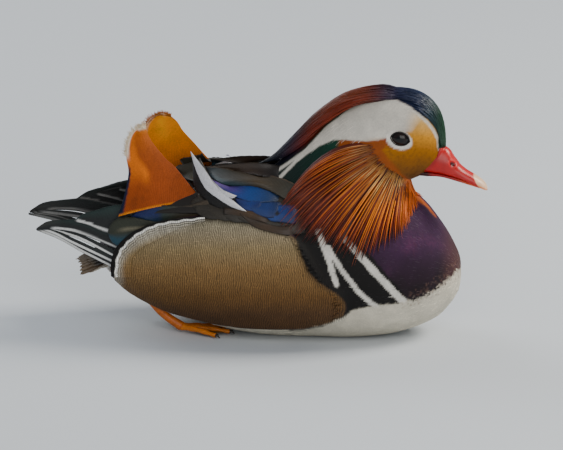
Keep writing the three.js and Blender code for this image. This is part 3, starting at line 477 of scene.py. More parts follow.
def plumage_colours(points):
    """The colour of the small feathers at places in mm on the skin."""
    spots = drawn(points)
    x, y, z = points[:, 0], np.abs(points[:, 1]), points[:, 2]
    ragged = patchy(points, 3.2)
    broad = patchy(points, 16, 5.0)
    # Painted light and shade: the breast is painted darker low down and lighter above, with painted gloss
    # streaks of lighter purple and darker streaks between them.
    painted_lit_share = ease(z + 6 * broad, 46, 84)
    paint = over(BREAST_PAINTED_SHADE, BREAST_BASE, painted_lit_share)
    streaks = patchy(points * (1, 1, 0.35), 1.3, 4.0)
    paint = over(paint, BREAST_PAINTED_SHEEN, 0.55 * ease(broad + 0.9 * streaks, -0.2, 1.1) * painted_lit_share)
    paint = over(paint, BREAST_PAINTED_SHADE, 0.5 * ease(streaks, 0.1, 0.8))
    paint = over(paint, BREAST_BROWN, 0.8 * ease(spots[:, 0], 436, 456))
    throat = ease(inside_by(spots, THROAT) + 0.8 * streaks, -0.8, 1.5)
    paint = over(paint, "b4611a", throat)
    back = ease(z, 92, 104) * (1 - ease(x, 20, 52))
    paint = over(paint, "2b251a", back)
    paint = over(paint, "221d18", ease(-x, 70, 96) * ease(z, 62, 74))
    field = inside_by(spots, STRIPE_FIELD) + 1.0 * ragged
    paint = over(paint, BLACK, ease(field, -1.2, 1.0) * ease(y, 14, 24))
    for line, half in STRIPES:
        gap = beside(spots, line) + 0.6 * ragged
        paint = over(paint, WHITE, (1 - ease(gap, half - 0.6, half + 0.6)) * ease(y, 14, 24))
    flecks = patchy(points, 2.0, 9.0)
    low = inside_by(spots, WATER_LINE) + (1.5 + 3.5 * ease(x, 90, 120)) * flecks
    under = np.where(x > 20, ease(low, -1.5, 1.5), 1 - ease(z + 3 * ragged, 25, 33))
    paint = over(paint, BELLY, under)
    # Painted reflection and shade of the water: brown flecks near the water line at the front of the breast.
    near_line = np.abs(low) < 8
    paint = over(paint, "6a5248", 0.5 * ease(x, 96, 116) * ease(flecks, 0.0, 0.5) * near_line)
    rump = ease(-x, 94, 100) * (1 - ease(z, 58, 66))
    paint = over(paint, "3c1420", rump * ease(z, 26, 32))
    paint = over(paint, WHITE, rump * ease(-x, 118, 121) * (1 - ease(z, 46, 52)))
    paint = over(paint, "17191a", ease(-x, 112, 118) * ease(z, 50, 56) * (1 - ease(z, 62, 68)))
    paint = over(paint, flank_colours(points), ease(flank_cover(x, z), 0.25, 0.6))
    on_head = ease(z - 0.55 * (40 - x) * (x < 40), 101, 107) * ease(x, -12, -6)
    high = ramp(spots[:, 0], ((262, "08110f"), (300, "0c211c"), (345, "12382a")))
    high = over(high, "7a3410", ease(spots[:, 0], 342, 362))
    face = inside_by(spots, FACE) + 1.2 * ragged
    gold = ramp(spots[:, 1], FACE_COLOURS)
    mottle = ease(patchy(points, 1.7, 6.0), 0.0, 0.5) * ease(spots[:, 1], 118, 140)
    gold = over(gold, gold * 0.62, 0.6 * mottle)
    high = over(high, gold, ease(face, -6, 2.5))
    copper = 1 - ease(-inside_by(spots, COPPER_PATCH), -1, 3)
    high = over(high, "8a4a16", copper * (1 - ease(face, -1.5, 3)))
    band = inside_by(spots, WHITE_BAND) + 0.4 * ragged
    to_gold = ease(spots[:, 0] + 0.35 * (spots[:, 1] - 120), 402, 424)
    high = over(high, "d3cec4", ease(band, -0.8, 0.8) * (1 - to_gold))
    # Painted highlight: a pale rim along the crown's top and the forehead's outline.
    rim = beside(spots, CROWN_RIM_HIGHLIGHT) + 0.4 * ragged
    high = over(high, "e3ded4", (1 - ease(rim, 0.8, 2.2)) * 0.85)
    band_end = ease(spots[:, 0], 360, 382) * ease(spots[:, 1], 137, 141) * (band > 0)
    high = over(high, "b9895a", 0.55 * band_end)
    ahead, above = spots[:, 0] - EYE_SPOT[0], EYE_SPOT[1] - spots[:, 1]
    ring = np.hypot(ahead / 1.3, above + 0.1 * ahead) + 0.3 * ragged
    below = ease(-above - 0.45 * ahead, -9, 4)
    high = over(high, "e6e1d8", 1 - ease(ring, 7.6 + 2.6 * below, 8.8 + 2.6 * below))
    high = over(high, "15110e", 1 - ease(ring, 6.4, 7.0))
    lores = beside(spots, LORES) + 1.0 * ragged
    high = over(high, "3a2410", (1 - ease(lores, 0.6, 3.5)) * 0.6)
    high = over(high, "b4611a", throat * (spots[:, 1] > 180))
    crown = inside_by(spots, CROWN) + 0.5 * ragged
    high = over(high, ramp(spots[:, 0], CROWN_COLOURS), ease(crown, -0.7, 0.7))
    return over(paint, high, on_head)


def set_colours(piece, colours):
    """Colours of the piece's points, or one for all, as an attribute that its finish reads."""
    attribute = piece.data.attributes.new("plumage", "FLOAT_COLOR", "POINT")
    flat = np.ones((len(piece.data.vertices), 4))
    flat[:, :3] = np.clip(colours, 0, 1)
    attribute.data.foreach_set("color", flat.ravel())


def set_values(piece, values, name):
    attribute = piece.data.attributes.new(name, "FLOAT", "POINT")
    attribute.data.foreach_set("value", np.asarray(values, float).ravel())


set_colours(skin, plumage_colours(skin_points))
set_values(skin, bar_reach(skin_points), "reach")
set_values(skin, flank_cover(skin_points[:, 0], skin_points[:, 2]), "barred")


# The finish of the feathers: the markings, a little unevenness, and fine barbs raised along each vane.
# Each feather carries where a point is along it and across it, and how light it is as a whole.
def node(tree, kind, **values):
    made = tree.nodes.new(kind)
    for key, value in values.items():
        setattr(made, key, value)
    return made


def read(tree, name, output):
    return node(tree, "ShaderNodeAttribute", attribute_name=name).outputs[output]


def sum_of(tree, operation, *terms):
    made = node(tree, "ShaderNodeMath", operation=operation)
    for k, term in enumerate(terms):
        if isinstance(term, (int, float)):
            made.inputs[k].default_value = term
        else:
            tree.links.new(term, made.inputs[k])
    return made.outputs[0]


def noise_of(tree, vector, size_mm, detail=2.0, stretch=(1, 1, 1)):
    mapping = node(tree, "ShaderNodeMapping")
    mapping.inputs["Scale"].default_value = [s / (size_mm * MM) for s in stretch]
    tree.links.new(vector, mapping.inputs["Vector"])
    made = node(tree, "ShaderNodeTexNoise")
    made.inputs["Scale"].default_value = 1
    made.inputs["Detail"].default_value = detail
    tree.links.new(mapping.outputs[0], made.inputs["Vector"])
    return made.outputs["Fac"]


def tinted(tree, base, factor):
    """A colour made lighter or darker by a factor, or a vector made longer or shorter."""
    made = node(tree, "ShaderNodeVectorMath", operation="SCALE")
    tree.links.new(base, made.inputs[0])
    tree.links.new(factor, made.inputs["Scale"])
    return made.outputs[0]


def new_finish(name, settings):
    """A finish with these constants, its node tree, its shader, and the place on the piece."""
    finish = bpy.data.materials.new(name)
    finish.use_nodes = True
    tree = finish.node_tree
    shader = tree.nodes["Principled BSDF"]
    for word, value in settings.items():
        shader.inputs[word].default_value = value
    return finish, tree, shader, node(tree, "ShaderNodeTexCoord").outputs["Object"]


BAR_SPACING = 1.6


def feather_shading_group():
    """The shading every feather shares: the marking made uneven, with barbs and wavy bars."""
    tree = bpy.data.node_groups.new("feather_shading", "ShaderNodeTree")
    tree.interface.new_socket("Marking", in_out="INPUT", socket_type="NodeSocketColor")
    tree.interface.new_socket("Place", in_out="INPUT", socket_type="NodeSocketVector")
    for word in ("Along", "Across", "Tone", "Reach", "Barred", "Barbs", "Tip Shade", "Bar Depth"):
        tree.interface.new_socket(word, in_out="INPUT", socket_type="NodeSocketFloat")
    tree.interface.new_socket("Colour", in_out="OUTPUT", socket_type="NodeSocketColor")
    tree.interface.new_socket("Normal", in_out="OUTPUT", socket_type="NodeSocketVector")
    start = node(tree, "NodeGroupInput").outputs
    end = node(tree, "NodeGroupOutput").inputs
    grain = noise_of(tree, start["Place"], 1.2, 3)
    cloud = noise_of(tree, start["Place"], 11, 2)
    factor = sum_of(tree, "MULTIPLY_ADD", grain, 0.6, 0.7)
    factor = sum_of(tree, "MULTIPLY", factor, sum_of(tree, "MULTIPLY_ADD", cloud, 0.5, 0.75))
    factor = sum_of(tree, "MULTIPLY", factor, sum_of(tree, "MULTIPLY_ADD", start["Tone"], 0.32, 1.0))
    tip = sum_of(tree, "MULTIPLY", sum_of(tree, "SUBTRACT", start["Along"], 0.45), start["Tip Shade"])
    factor = sum_of(tree, "MULTIPLY", factor, sum_of(tree, "ADD", tip, 1.0))
    slope = sum_of(tree, "ABSOLUTE", start["Across"])
    barb_count = sum_of(tree, "MULTIPLY_ADD", slope, -16.0, sum_of(tree, "MULTIPLY", start["Along"], 120.0))
    barb = sum_of(tree, "SINE", sum_of(tree, "ADD", barb_count, sum_of(tree, "MULTIPLY", grain, 6.0)))
    barb_shade = sum_of(tree, "MULTIPLY", sum_of(tree, "MULTIPLY", barb, start["Barbs"]), 0.07)
    factor = sum_of(tree, "MULTIPLY", factor, sum_of(tree, "ADD", barb_shade, 1.0))
    bend = noise_of(tree, start["Place"], 5, 2)
    bend = sum_of(tree, "MULTIPLY", bend, 15.0)
    phase = sum_of(tree, "MULTIPLY_ADD", start["Reach"], 2 * math.pi / BAR_SPACING, bend)
    bar = sum_of(tree, "MULTIPLY", sum_of(tree, "SINE", phase), start["Barred"])
    factor = sum_of(tree, "MULTIPLY", factor, sum_of(tree, "MULTIPLY_ADD", bar, start["Bar Depth"], 1.0))
    tree.links.new(tinted(tree, start["Marking"], factor), end["Colour"])
    bump = node(tree, "ShaderNodeBump")
    bump.inputs["Distance"].default_value = 0.4 * MM
    tree.links.new(sum_of(tree, "MULTIPLY", start["Barbs"], 0.35), bump.inputs["Strength"])
    height = sum_of(tree, "MULTIPLY_ADD", barb, 0.3, sum_of(tree, "MULTIPLY", grain, 1.2))
    tree.links.new(height, bump.inputs["Height"])
    tree.links.new(bump.outputs["Normal"], end["Normal"])
    return tree


feather_shading = feather_shading_group()


def feather_finish(name, roughness=0.6, sheen=0.0, specular=0.35, barbs=0.5, tip_shade=0.0, bars=0.0):
    """A finish whose colour is the marking of the piece, shaded from feather to feather."""
    settings = {
        "Roughness": roughness,
        "Specular IOR Level": specular,
        "Sheen Weight": sheen,
        "Sheen Roughness": 0.4,
    }
    finish, tree, shader, place = new_finish(name, settings)
    shading = node(tree, "ShaderNodeGroup", node_tree=feather_shading)
    tree.links.new(place, shading.inputs["Place"])
    tree.links.new(read(tree, "plumage", "Color"), shading.inputs["Marking"])
    for word in ("Along", "Across", "Tone", "Reach", "Barred"):
        tree.links.new(read(tree, word.lower(), "Fac"), shading.inputs[word])
    shading.inputs["Barbs"].default_value = barbs
    shading.inputs["Tip Shade"].default_value = tip_shade
    shading.inputs["Bar Depth"].default_value = bars
    tree.links.new(shading.outputs["Colour"], shader.inputs["Base Color"])
    tree.links.new(shading.outputs["Normal"], shader.inputs["Normal"])
    return finish


def add_feather_values(piece, along=0.0, across=0.0, tone=0.0):
    """Where each point is along and across its feather, and how light the feather is."""
    count = len(piece.data.vertices)
    for name, value in (("along", along), ("across", across), ("tone", tone)):
        set_values(piece, np.broadcast_to(value, count), name)


small_finish = feather_finish("small_feathers", roughness=0.55, sheen=0.05, specular=0.4, tip_shade=0.15)
breast_finish = feather_finish("breast_feathers", roughness=0.46, specular=0.4, tip_shade=0.45)
face_finish = feather_finish("face_feathers", roughness=0.6, specular=0.3, barbs=0.9, tip_shade=0.25)
buff_finish = feather_finish("buff_feathers", roughness=0.7, specular=0.22, bars=0.42)
skin.data.materials.append(buff_finish)
add_feather_values(skin, tone=-0.5)
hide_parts("torso", "neck", "head")
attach(skin, "root")


# The coat: small round-ended feathers set over the skin like tiles, each lying back over the next.
# They are planted on the skin by a node tree from roots that carry their turn, size, colour and tone.
def face_out(piece):
    """Turns every face of a closed piece outwards."""
    bm = bmesh.new()
    bm.from_mesh(piece.data)
    bmesh.ops.recalc_face_normals(bm, faces=bm.faces)
    bm.to_mesh(piece.data)
    bm.free()
    piece.data.shade_smooth()


def feather_form(name, rings=(0.0, 0.4, 0.78, 1.0), widths=(0.5, 1.0, 0.86, 0.22), thick=0.05, curve=0.1):
    """One feather of length and width 1 along +Y: a thin closed vane with a raised shaft."""
    points, along, across = [], [], []
    for t, w in zip(rings, widths):
        rise = -curve * (t * t) + 0.03
        edge = rise - 0.10 * w
        points += [(-0.5 * w, t, edge), (0, t, rise + thick), (0.5 * w, t, edge), (0, t, rise - thick * 0.4)]
        along += [t] * 4
        across += [-1, 0, 1, 0]
    piece = mesh_piece(name, points, tube_faces(len(rings), 4))
    set_values(piece, along, "along")
    set_values(piece, across, "across")
    face_out(piece)
    return piece


def planting_tree(name):
    """A node tree that sets one feather on each root, at the root's own turn and size."""
    tree = bpy.data.node_groups.new(name, "GeometryNodeTree")
    for word, kind in (
        ("Roots", "Geometry"), ("Feather", "Object"), ("Size", "Float"), ("Unevenness", "Float"),
        ("Seed", "Int"), ("Finish", "Material"),
    ):  # fmt: skip
        tree.interface.new_socket(word, in_out="INPUT", socket_type="NodeSocket" + kind)
    tree.interface.new_socket("Coat", in_out="OUTPUT", socket_type="NodeSocketGeometry")
    link = tree.links.new
    start = node(tree, "NodeGroupInput").outputs
    form = node(tree, "GeometryNodeObjectInfo")
    link(start["Feather"], form.inputs["Object"])
    plant = node(tree, "GeometryNodeInstanceOnPoints")
    link(start["Roots"], plant.inputs["Points"])
    link(form.outputs["Geometry"], plant.inputs["Instance"])
    turn = node(tree, "GeometryNodeInputNamedAttribute", data_type="FLOAT_VECTOR")
    turn.inputs["Name"].default_value = "turn"
    to_rotation = node(tree, "FunctionNodeEulerToRotation")
    link(turn.outputs["Attribute"], to_rotation.inputs["Euler"])
    link(to_rotation.outputs["Rotation"], plant.inputs["Rotation"])
    size = node(tree, "GeometryNodeInputNamedAttribute", data_type="FLOAT_VECTOR")
    size.inputs["Name"].default_value = "size"
    draw = node(tree, "FunctionNodeRandomValue", data_type="FLOAT")
    least, most = [s for s in draw.inputs if s.type == "VALUE"][:2]
    link(sum_of(tree, "SUBTRACT", 1, start["Unevenness"]), least)
    most.default_value = 1
    link(start["Seed"], draw.inputs["Seed"])
    drawn_size = [s for s in draw.outputs if s.type == "VALUE"][0]
    scale = tinted(tree, size.outputs["Attribute"], sum_of(tree, "MULTIPLY", drawn_size, start["Size"]))
    link(scale, plant.inputs["Scale"])
    real = node(tree, "GeometryNodeRealizeInstances")
    link(plant.outputs["Instances"], real.inputs["Geometry"])
    paint = node(tree, "GeometryNodeSetMaterial")
    link(real.outputs["Geometry"], paint.inputs["Geometry"])
    link(start["Finish"], paint.inputs["Material"])
    link(paint.outputs["Geometry"], node(tree, "NodeGroupOutput").inputs["Coat"])
    return tree


planting = planting_tree("plant_feathers")
draws = np.random.default_rng(7)
PATCH = 0.003
UNEVENNESS = 0.25


def unit_rows(v):
    return v / np.maximum(np.linalg.norm(v, axis=1, keepdims=True), 1e-9)


def turns_of(side, lie, out):
    """Euler turns that bring X, Y and Z to these directions."""
    rx = np.arctan2(lie[:, 2], out[:, 2])
    ry = -np.arcsin(np.clip(side[:, 2], -1, 1))
    rz = np.arctan2(side[:, 1], side[:, 0])
    return np.stack([rx, ry, rz], 1)


def set_bake_map(piece, homes, offsets):
    """The bake map: each feather is a small patch round its root's place on the skin's unwrap."""
    layer = piece.data.uv_layers.new(name="OFBake")
    corner = np.empty(len(piece.data.loops), int)
    piece.data.loops.foreach_get("vertex_index", corner)
    spots = homes + PATCH * offsets
    layer.data.foreach_set("uv", spots[corner].ravel())


def set_vectors(piece, vectors, name):
    attribute = piece.data.attributes.new(name, "FLOAT_VECTOR", "POINT")
    attribute.data.foreach_set("vector", vectors.ravel())


def plant(name, form, roots, out, lie, long, wide, colours, unwrap, finish, seed, lift=0.06):
    """A coat of small feathers on these roots, in mm. Lie is the way they point, out is off the skin."""
    out = unit_rows(out)
    lie = unit_rows(lie - (lie * out).sum(1)[:, None] * out)
    lie = unit_rows(lie + lift * out)
    side = unit_rows(np.cross(lie, out))
    out = np.cross(side, lie)
    cloud = mesh_piece(name + "_roots", roots * MM, [])
    set_vectors(cloud, turns_of(side, lie, out), "turn")
    set_vectors(cloud, np.stack([wide, long, long * 0.5 + wide * 0.5], 1) * MM, "size")
    set_colours(cloud, colours)
    set_values(cloud, np.clip(draws.normal(0, 0.4, len(roots)), -1, 1), "tone")
    modifier = cloud.modifiers.new("coat", "NODES")
    modifier.node_group = planting
    sockets = {s.name: s.identifier for s in planting.interface.items_tree if s.in_out == "INPUT"}
    modifier[sockets["Feather"]] = form
    modifier[sockets["Size"]] = 1.0
    modifier[sockets["Unevenness"]] = UNEVENNESS
    modifier[sockets["Seed"]] = seed
    modifier[sockets["Finish"]] = finish
    apply_modifiers(cloud)
    cloud.name = name
    cloud.data.name = name
    form_points = points_of(form) * MM
    homes = np.repeat(unwrap, len(form_points), axis=0)
    offsets = np.tile(form_points[:, :2] - (0, 0.5), (len(roots), 1))
    set_bake_map(cloud, homes, offsets)
    return cloud


def on_skin(points, reach=4.0):
    """Where places in mm meet the skin, the way out there, and whether it is near."""
    at, out, near = np.zeros_like(points), np.zeros_like(points), np.zeros(len(points), bool)
    for k, p in enumerate(points * MM):
        hit, normal, _, gap = skin_tree.find_nearest(p)
        at[k], out[k], near[k] = np.array(hit) / MM, normal, gap < reach * MM
    return at, out, near


small_form = feather_form("small_form")
fine_form = feather_form("fine_form", rings=(0.0, 0.5, 1.0), widths=(0.6, 1.0, 0.15), thick=0.06, curve=0.06)


# Where the small feathers stand: rows along the body and the head, each a little out of line.
# The body's lie straight back, and the head's follow it from the bill over the nape.
GIRTH_RADIUS, HEAD_RADIUS = 55, 31
HEAD_STEP = 15
UNWRAP_LENGTH = 300
ROOT_DEPTH = 0.3


def even_grid(u_steps, v_steps):
    """The middles of the cells of a unit square."""
    u, v = (np.arange(u_steps) + 0.5) / u_steps, (np.arange(v_steps) + 0.5) / v_steps
    return np.meshgrid(u, v, indexing="ij")


def torso_unwrap(x, angle):
    return np.stack([(x - RUMP_X) / UNWRAP_LENGTH * 0.5, (angle / (2 * np.pi)) % 1], 1)


def body_roots(x_range, angle_range, spacing):
    """Roots spread evenly on the torso, with their lie and their place on its unwrap."""
    x_steps = int((x_range[1] - x_range[0]) / spacing)
    a_steps = int(GIRTH_RADIUS * (angle_range[1] - angle_range[0]) / spacing)
    u, v = even_grid(x_steps, a_steps)
    v = v + (np.arange(x_steps) % 2)[:, None] * 0.5 / a_steps
    u = (u + draws.uniform(-0.4, 0.4, u.shape) / x_steps).ravel()
    v = (v + draws.uniform(-0.4, 0.4, v.shape) / a_steps).ravel()
    x = x_range[0] + u * (x_range[1] - x_range[0])
    angle = angle_range[0] + v * (angle_range[1] - angle_range[0])
    cover = flank_cover(*torso_at(x, angle)[:, [0, 2]].T)
    grow = FLANK_RISE * cover - COAT_DEPTH
    roots = torso_at(x, angle, grow)
    ahead = torso_at(x + 1, angle, grow)
    return roots, roots - ahead, torso_unwrap(x, angle), cover


def head_roots(order_range, angle_range, spacing):
    """Roots spread evenly on the head and neck, with their lie and their place on its unwrap."""
    o_steps = int((order_range[1] - order_range[0]) * HEAD_STEP / spacing)
    a_steps = int(HEAD_RADIUS * (angle_range[1] - angle_range[0]) / spacing)
    u, v = even_grid(o_steps, a_steps)
    u = (u + draws.uniform(-0.45, 0.45, u.shape) / o_steps).ravel()
    v = (v + draws.uniform(-0.45, 0.45, v.shape) / a_steps).ravel()
    order = order_range[0] + u * (order_range[1] - order_range[0])
    angle = angle_range[0] + v * (angle_range[1] - angle_range[0])
    roots = head_at(order, angle, -COAT_DEPTH)
    further = head_at(order + 0.1, angle, -COAT_DEPTH)
    unwrap = np.stack([0.5 + order / HEAD_LAST * 0.5, (angle / (2 * np.pi)) % 1], 1)
    return roots, further - roots, unwrap


def planted(name, form, found, long, wide, finish, seed, lift=0.06, keep=None, at_vertices=False):
    """A small-feather coat from found roots: those that lie in another part of the body are left out."""
    roots, lie, unwrap = found
    at, out, near = on_skin(roots)
    if keep is not None:
        near &= keep
    at, out, lie, unwrap = at[near], out[near], lie[near], unwrap[near]
    roots, shades = at - ROOT_DEPTH * out, plumage_colours(at)
    lengths = np.full(len(at), float(long))
    coat = plant(name, form, roots, out, lie, lengths, lengths * wide, shades, unwrap, finish, seed, lift)
    if at_vertices:
        places = points_of(coat)
        coat.data.attributes.remove(coat.data.attributes["plumage"])
        set_colours(coat, plumage_colours(places))
        set_values(coat, bar_reach(places), "reach")
        set_values(coat, flank_cover(places[:, 0], places[:, 2]), "barred")
    return coat


quarter_turn = math.pi / 2
breast = body_roots((14, BREAST_X - 1), (-quarter_turn, 3 * quarter_turn), 2.3)
off_panel = breast[3] < 0.12
breast_coat = planted("breast_coat", small_form, breast[:3], 4.6, 0.6, breast_finish, 11, keep=off_panel)
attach(breast_coat, "root")
under = body_roots((-100, 36), (math.pi, 2 * math.pi), 4.2)
belly_coat = planted("belly_coat", small_form, under[:3], 7.5, 0.8, small_finish, 12, keep=under[3] < 0.3)
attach(belly_coat, "root")
rear = body_roots((RUMP_X + 3, -84), (0, 2 * math.pi), 3.4)
rump_coat = planted("rump_coat", small_form, rear[:3], 8, 0.75, small_finish, 13, keep=rear[3] < 0.4)
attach(rump_coat, "root")
panels = {}
SIDE_ANGLES = {
    RIGHT: (quarter_turn * 1.05, quarter_turn * 2.75),
    LEFT: (-quarter_turn * 0.75, quarter_turn * 0.95),
}
for side, word in SIDES:
    rows = body_roots((-118, 68), SIDE_ANGLES[side], 2.45)
    panel = planted(
        "flank_" + word + "_coat", small_form, rows[:3], 6.6, 0.66, buff_finish, 20 + side, lift=0.012,
        keep=rows[3] >= 0.3, at_vertices=True,
    )  # fmt: skip
    panels[side] = panel
    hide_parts("flank_" + word)
    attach(panel, "root")
face_rows = head_roots((0.05, 3.4), (-quarter_turn, 3 * quarter_turn), 1.1)
eye_gap = drawn(face_rows[0]) - (EYE_SPOT[0] + 2.5, EYE_SPOT[1])
off_eye = np.hypot(eye_gap[:, 0] / 11.5, eye_gap[:, 1] / 7.2) > 1
face_coat = planted("face_coat", fine_form, face_rows, 2.3, 0.42, face_finish, 31, lift=0.04, keep=off_eye)
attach(face_coat, "root")
cheek_rows = head_roots((3.4, 6.6), (-quarter_turn, 3 * quarter_turn), 1.3)
cheek_coat = planted("cheek_coat", fine_form, cheek_rows, 3.8, 0.3, face_finish, 32, lift=0.04)
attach(cheek_coat, "root")
neck_rows = head_roots((6.6, 10), (-quarter_turn * 0.6, 2.6 * quarter_turn), 1.9)
neck_coat = planted("neck_coat", fine_form, neck_rows, 6.5, 0.28, face_finish, 33, lift=0.04)
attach(neck_coat, "root")


# The wing bed: the folded upper wing as a low pad over the shoulder, dark under its feathers.
# The mantle between the two wings is a strip of the same along the middle of the back.
WING_FRONT_X, WING_REAR_X = 34, -100
WING_DEPTH = 4.4
WING_REAR_RISE = 8
STAND_OFF = 1


def angle_at(x, z):
    """The angle round the torso at which its side has a height."""
    row = table(TORSO, x)
    up = z >= row[:, 4]
    reach = np.where(up, row[:, 2] - row[:, 4], row[:, 4] - row[:, 1])
    full = np.where(up, row[:, 5], row[:, 6])
    share = np.clip((z - row[:, 4]) / reach, -1, 1)
    return np.arcsin(np.sign(share) * np.abs(share) ** (full / 2))


def wing_at(side, u, v, lift=0.0):
    """Places on the folded wing: u from its rear to its front, v from the flank up to the back."""
    x = WING_REAR_X + (WING_FRONT_X - WING_REAR_X) * u
    high = table(FLANK, np.minimum(x, 24))[:, 1]
    low = angle_at(x, high + 1.6)
    top = 1.32 + 0.04 * u
    angle = low + (top - low) * v
    fade = np.minimum(np.minimum(1, 4 * u + 0.4), 2.2 * (1 - u))
    rim = np.sqrt(np.sin(np.pi * (0.2 + 0.7 * np.clip(v, 0, 1))))
    rear = ease(-x, 40, 95)
    rise = WING_REAR_RISE * rear * np.exp(-(((angle - 0.95) / 0.4) ** 2))
    p = torso_at(x, angle, STAND_OFF + WING_DEPTH * np.clip(fade, 0.05, 1) * rim + rise + lift)
    p[:, 1] *= side
    return p


def plate_faces(across, along):
    """The faces of a closed plate between two grids of (along + 1) rows of (across + 1) places."""
    width = across + 1
    half = width * (along + 1)
    faces = []
    for j in range(along):
        for i in range(across):
            a, b, c, d = j * width + i, j * width + i + 1, (j + 1) * width + i + 1, (j + 1) * width + i
            faces += [(a, b, c, d), (a + half, d + half, c + half, b + half)]
    edge = list(range(across)) + [j * width + across for j in range(along)]
    edge += [along * width + i for i in range(across, 0, -1)] + [j * width for j in range(along, 0, -1)]
    return faces + [(b, a, a + half, b + half) for a, b in zip(edge, edge[1:] + edge[:1])]


def sheet_piece(name, outer, inner, across, along, finish):
    """A closed plate between two grids of places in mm."""
    piece = mesh_piece(name, np.concatenate([outer, inner]) * MM, plate_faces(across, along), finish)
    face_out(piece)
    return piece


def unit_grid(columns, rows):
    """Rows of places over a unit square: their two coordinates."""
    return [g.ravel() for g in np.meshgrid(np.linspace(0, 1, columns), np.linspace(0, 1, rows))]


wing_finish = feather_finish("wing_feathers", roughness=0.48, specular=0.4, barbs=0.7, tip_shade=0.1)
BED_ACROSS, BED_ALONG = 60, 24
WING_DARK = colour("1c1814")
beds = {}
for side, word in SIDES:
    u, v = unit_grid(BED_ACROSS + 1, BED_ALONG + 1)
    outer = wing_at(side, u, v, -1.0)
    inner = wing_at(side, u, v, -WING_DEPTH)
    inner[:, 1] -= side * 1.0
    bed = sheet_piece("wing_" + word + "_bed", outer, inner, BED_ACROSS, BED_ALONG, wing_finish)
    set_colours(bed, WING_DARK)
    add_feather_values(bed)
    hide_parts("wing_" + word)
    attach(bed, "root")
    beds[side] = bed
MANTLE_ACROSS, MANTLE_ALONG = 39, 11
u, v = unit_grid(MANTLE_ACROSS + 1, MANTLE_ALONG + 1)
mantle_x, mantle_angle = -84 + 74 * u, quarter_turn - 0.3 + 0.6 * v
mantle_rim = np.sqrt(np.sin(np.pi * (0.08 + 0.84 * v)))
outer = torso_at(mantle_x, mantle_angle, 0.8 + 2.6 * mantle_rim * np.minimum(1, 5 * u + 0.3))
inner = torso_at(mantle_x, mantle_angle, -1.0)
mantle = sheet_piece("mantle_bed", outer, inner, MANTLE_ACROSS, MANTLE_ALONG, wing_finish)
set_colours(mantle, colour("2b2620"))
add_feather_values(mantle)
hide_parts("mantle")
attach(mantle, "root")
BACK_ROWS = 15
back_angles = np.linspace(quarter_turn - 0.42, quarter_turn + 0.42, BACK_ROWS)
back_x, back_angle = np.meshgrid(np.arange(-92, 4, 3.6), back_angles)
back_x = (back_x + 1.8 * (np.arange(BACK_ROWS) % 2)[:, None] + draws.uniform(-0.8, 0.8, back_x.shape)).ravel()
back_angle = (back_angle + draws.uniform(-0.02, 0.02, back_angle.shape)).ravel()
back_grow = 0.4 + 2.4 * ease(back_x, -90, -72) * (1 - ease(back_x, -16, -4))
back_roots = torso_at(back_x, back_angle, back_grow)
back_out = torso_at(back_x, back_angle, back_grow + 1) - back_roots
back_lie = back_roots - torso_at(back_x + 1, back_angle, back_grow)
back_count = len(back_roots)
back_sizes = (np.full(back_count, 9.5), np.full(back_count, 6.4))
back_shades = over(colour("241f19"), "372c22", draws.uniform(0, 1, back_count))
back_homes = torso_unwrap(back_x, back_angle)
mantle_coat = plant(
    "mantle_coat", small_form, back_roots, back_out, back_lie, *back_sizes, back_shades, back_homes,
    small_finish, 41, lift=0.05,
)  # fmt: skip
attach(mantle_coat, "root")


# The long feathers: stiff vanes laid one over the next, each a thin curved blade on its own line.
# Their edges are a little uneven, and the shaft is a raised line along the middle.
def spline(rows, at):
    """Places on a smooth line through rows of points, at from 0 to 1."""
    rows = np.array(rows, float)
    steps = np.linalg.norm(np.diff(rows, axis=0), axis=1) ** 0.5
    knots = np.concatenate([[0], np.cumsum(steps)]) / steps.sum()
    return table(np.column_stack([knots, rows]), at)[:, 1:]


VANE_ALONG, VANE_ACROSS = 28, 10


def vane_grid(along, across, thick, seed):
    """Where a vane's points are along and across it, how its edge waves, and half its thickness."""
    t, s = np.meshgrid(np.linspace(0, 1, along + 1), np.linspace(-1, 1, across + 1), indexing="ij")
    wave = np.sin(37 * t + 5 * seed + 2 * s) * np.sin(23 * t + 9 * seed)
    return t, s, wave, thick * (0.5 - 0.32 * np.abs(s)) * (1 - 0.6 * t)


def blade(line, out, half, thick=0.5, along=VANE_ALONG, across=VANE_ACROSS, cup=0.0, ragged=0.15, seed=0.0):
    """The points of one vane. Line, out and half are given at along + 1 places from root to tip."""
    tangent = unit_rows(np.gradient(line, axis=0))
    out = unit_rows(out - (out * tangent).sum(1)[:, None] * tangent)
    side, out = np.cross(tangent, out)[:, None, :], out[:, None, :]
    t, s, wave, body = vane_grid(along, across, thick, seed)
    reach = half[:, None] * s + ragged * wave * np.abs(s) ** 3
    rise = -cup * s**2 * half[:, None]
    middle = line[:, None, :] + side * reach[..., None] + out * rise[..., None]
    shaft = 0.35 * thick * np.exp(-((s * half[:, None]) ** 2) / 0.25)
    top = middle + out * (body + shaft)[..., None]
    low = middle - out * body[..., None]
    return top.reshape(-1, 3), low.reshape(-1, 3), t.ravel(), s.ravel()


MOST_CELLS = 100
UNDER_SHARE = 0.8
AXIS_Z = 62


def map_vanes(piece, vanes, ts, ss):
    """The bake map of vanes: many small ones are patches at their roots, a few large ones have cells."""
    half = len(vanes[0][0])
    on_under = np.tile(np.repeat((0, 1), half), len(vanes))
    within = np.stack([np.clip(ss, -1, 1) * 0.22 + on_under * 0.5 - 0.25, ts - 0.5], 1)
    if len(vanes) > MOST_CELLS:
        roots = np.array([top[0] for top, _, _, _ in vanes])
        homes = torso_unwrap(roots[:, 0], np.arctan2(roots[:, 1], AXIS_Z - roots[:, 2]))
        set_bake_map(piece, np.repeat(homes, 2 * half, axis=0), within)
        return
    cells = math.ceil(math.sqrt(len(vanes)))
    order = np.arange(len(vanes))
    homes = (np.stack([order % cells, order // cells], 1) + 0.5) / cells
    set_bake_map(piece, np.repeat(homes, 2 * half, axis=0), within * 0.9 / cells / PATCH)


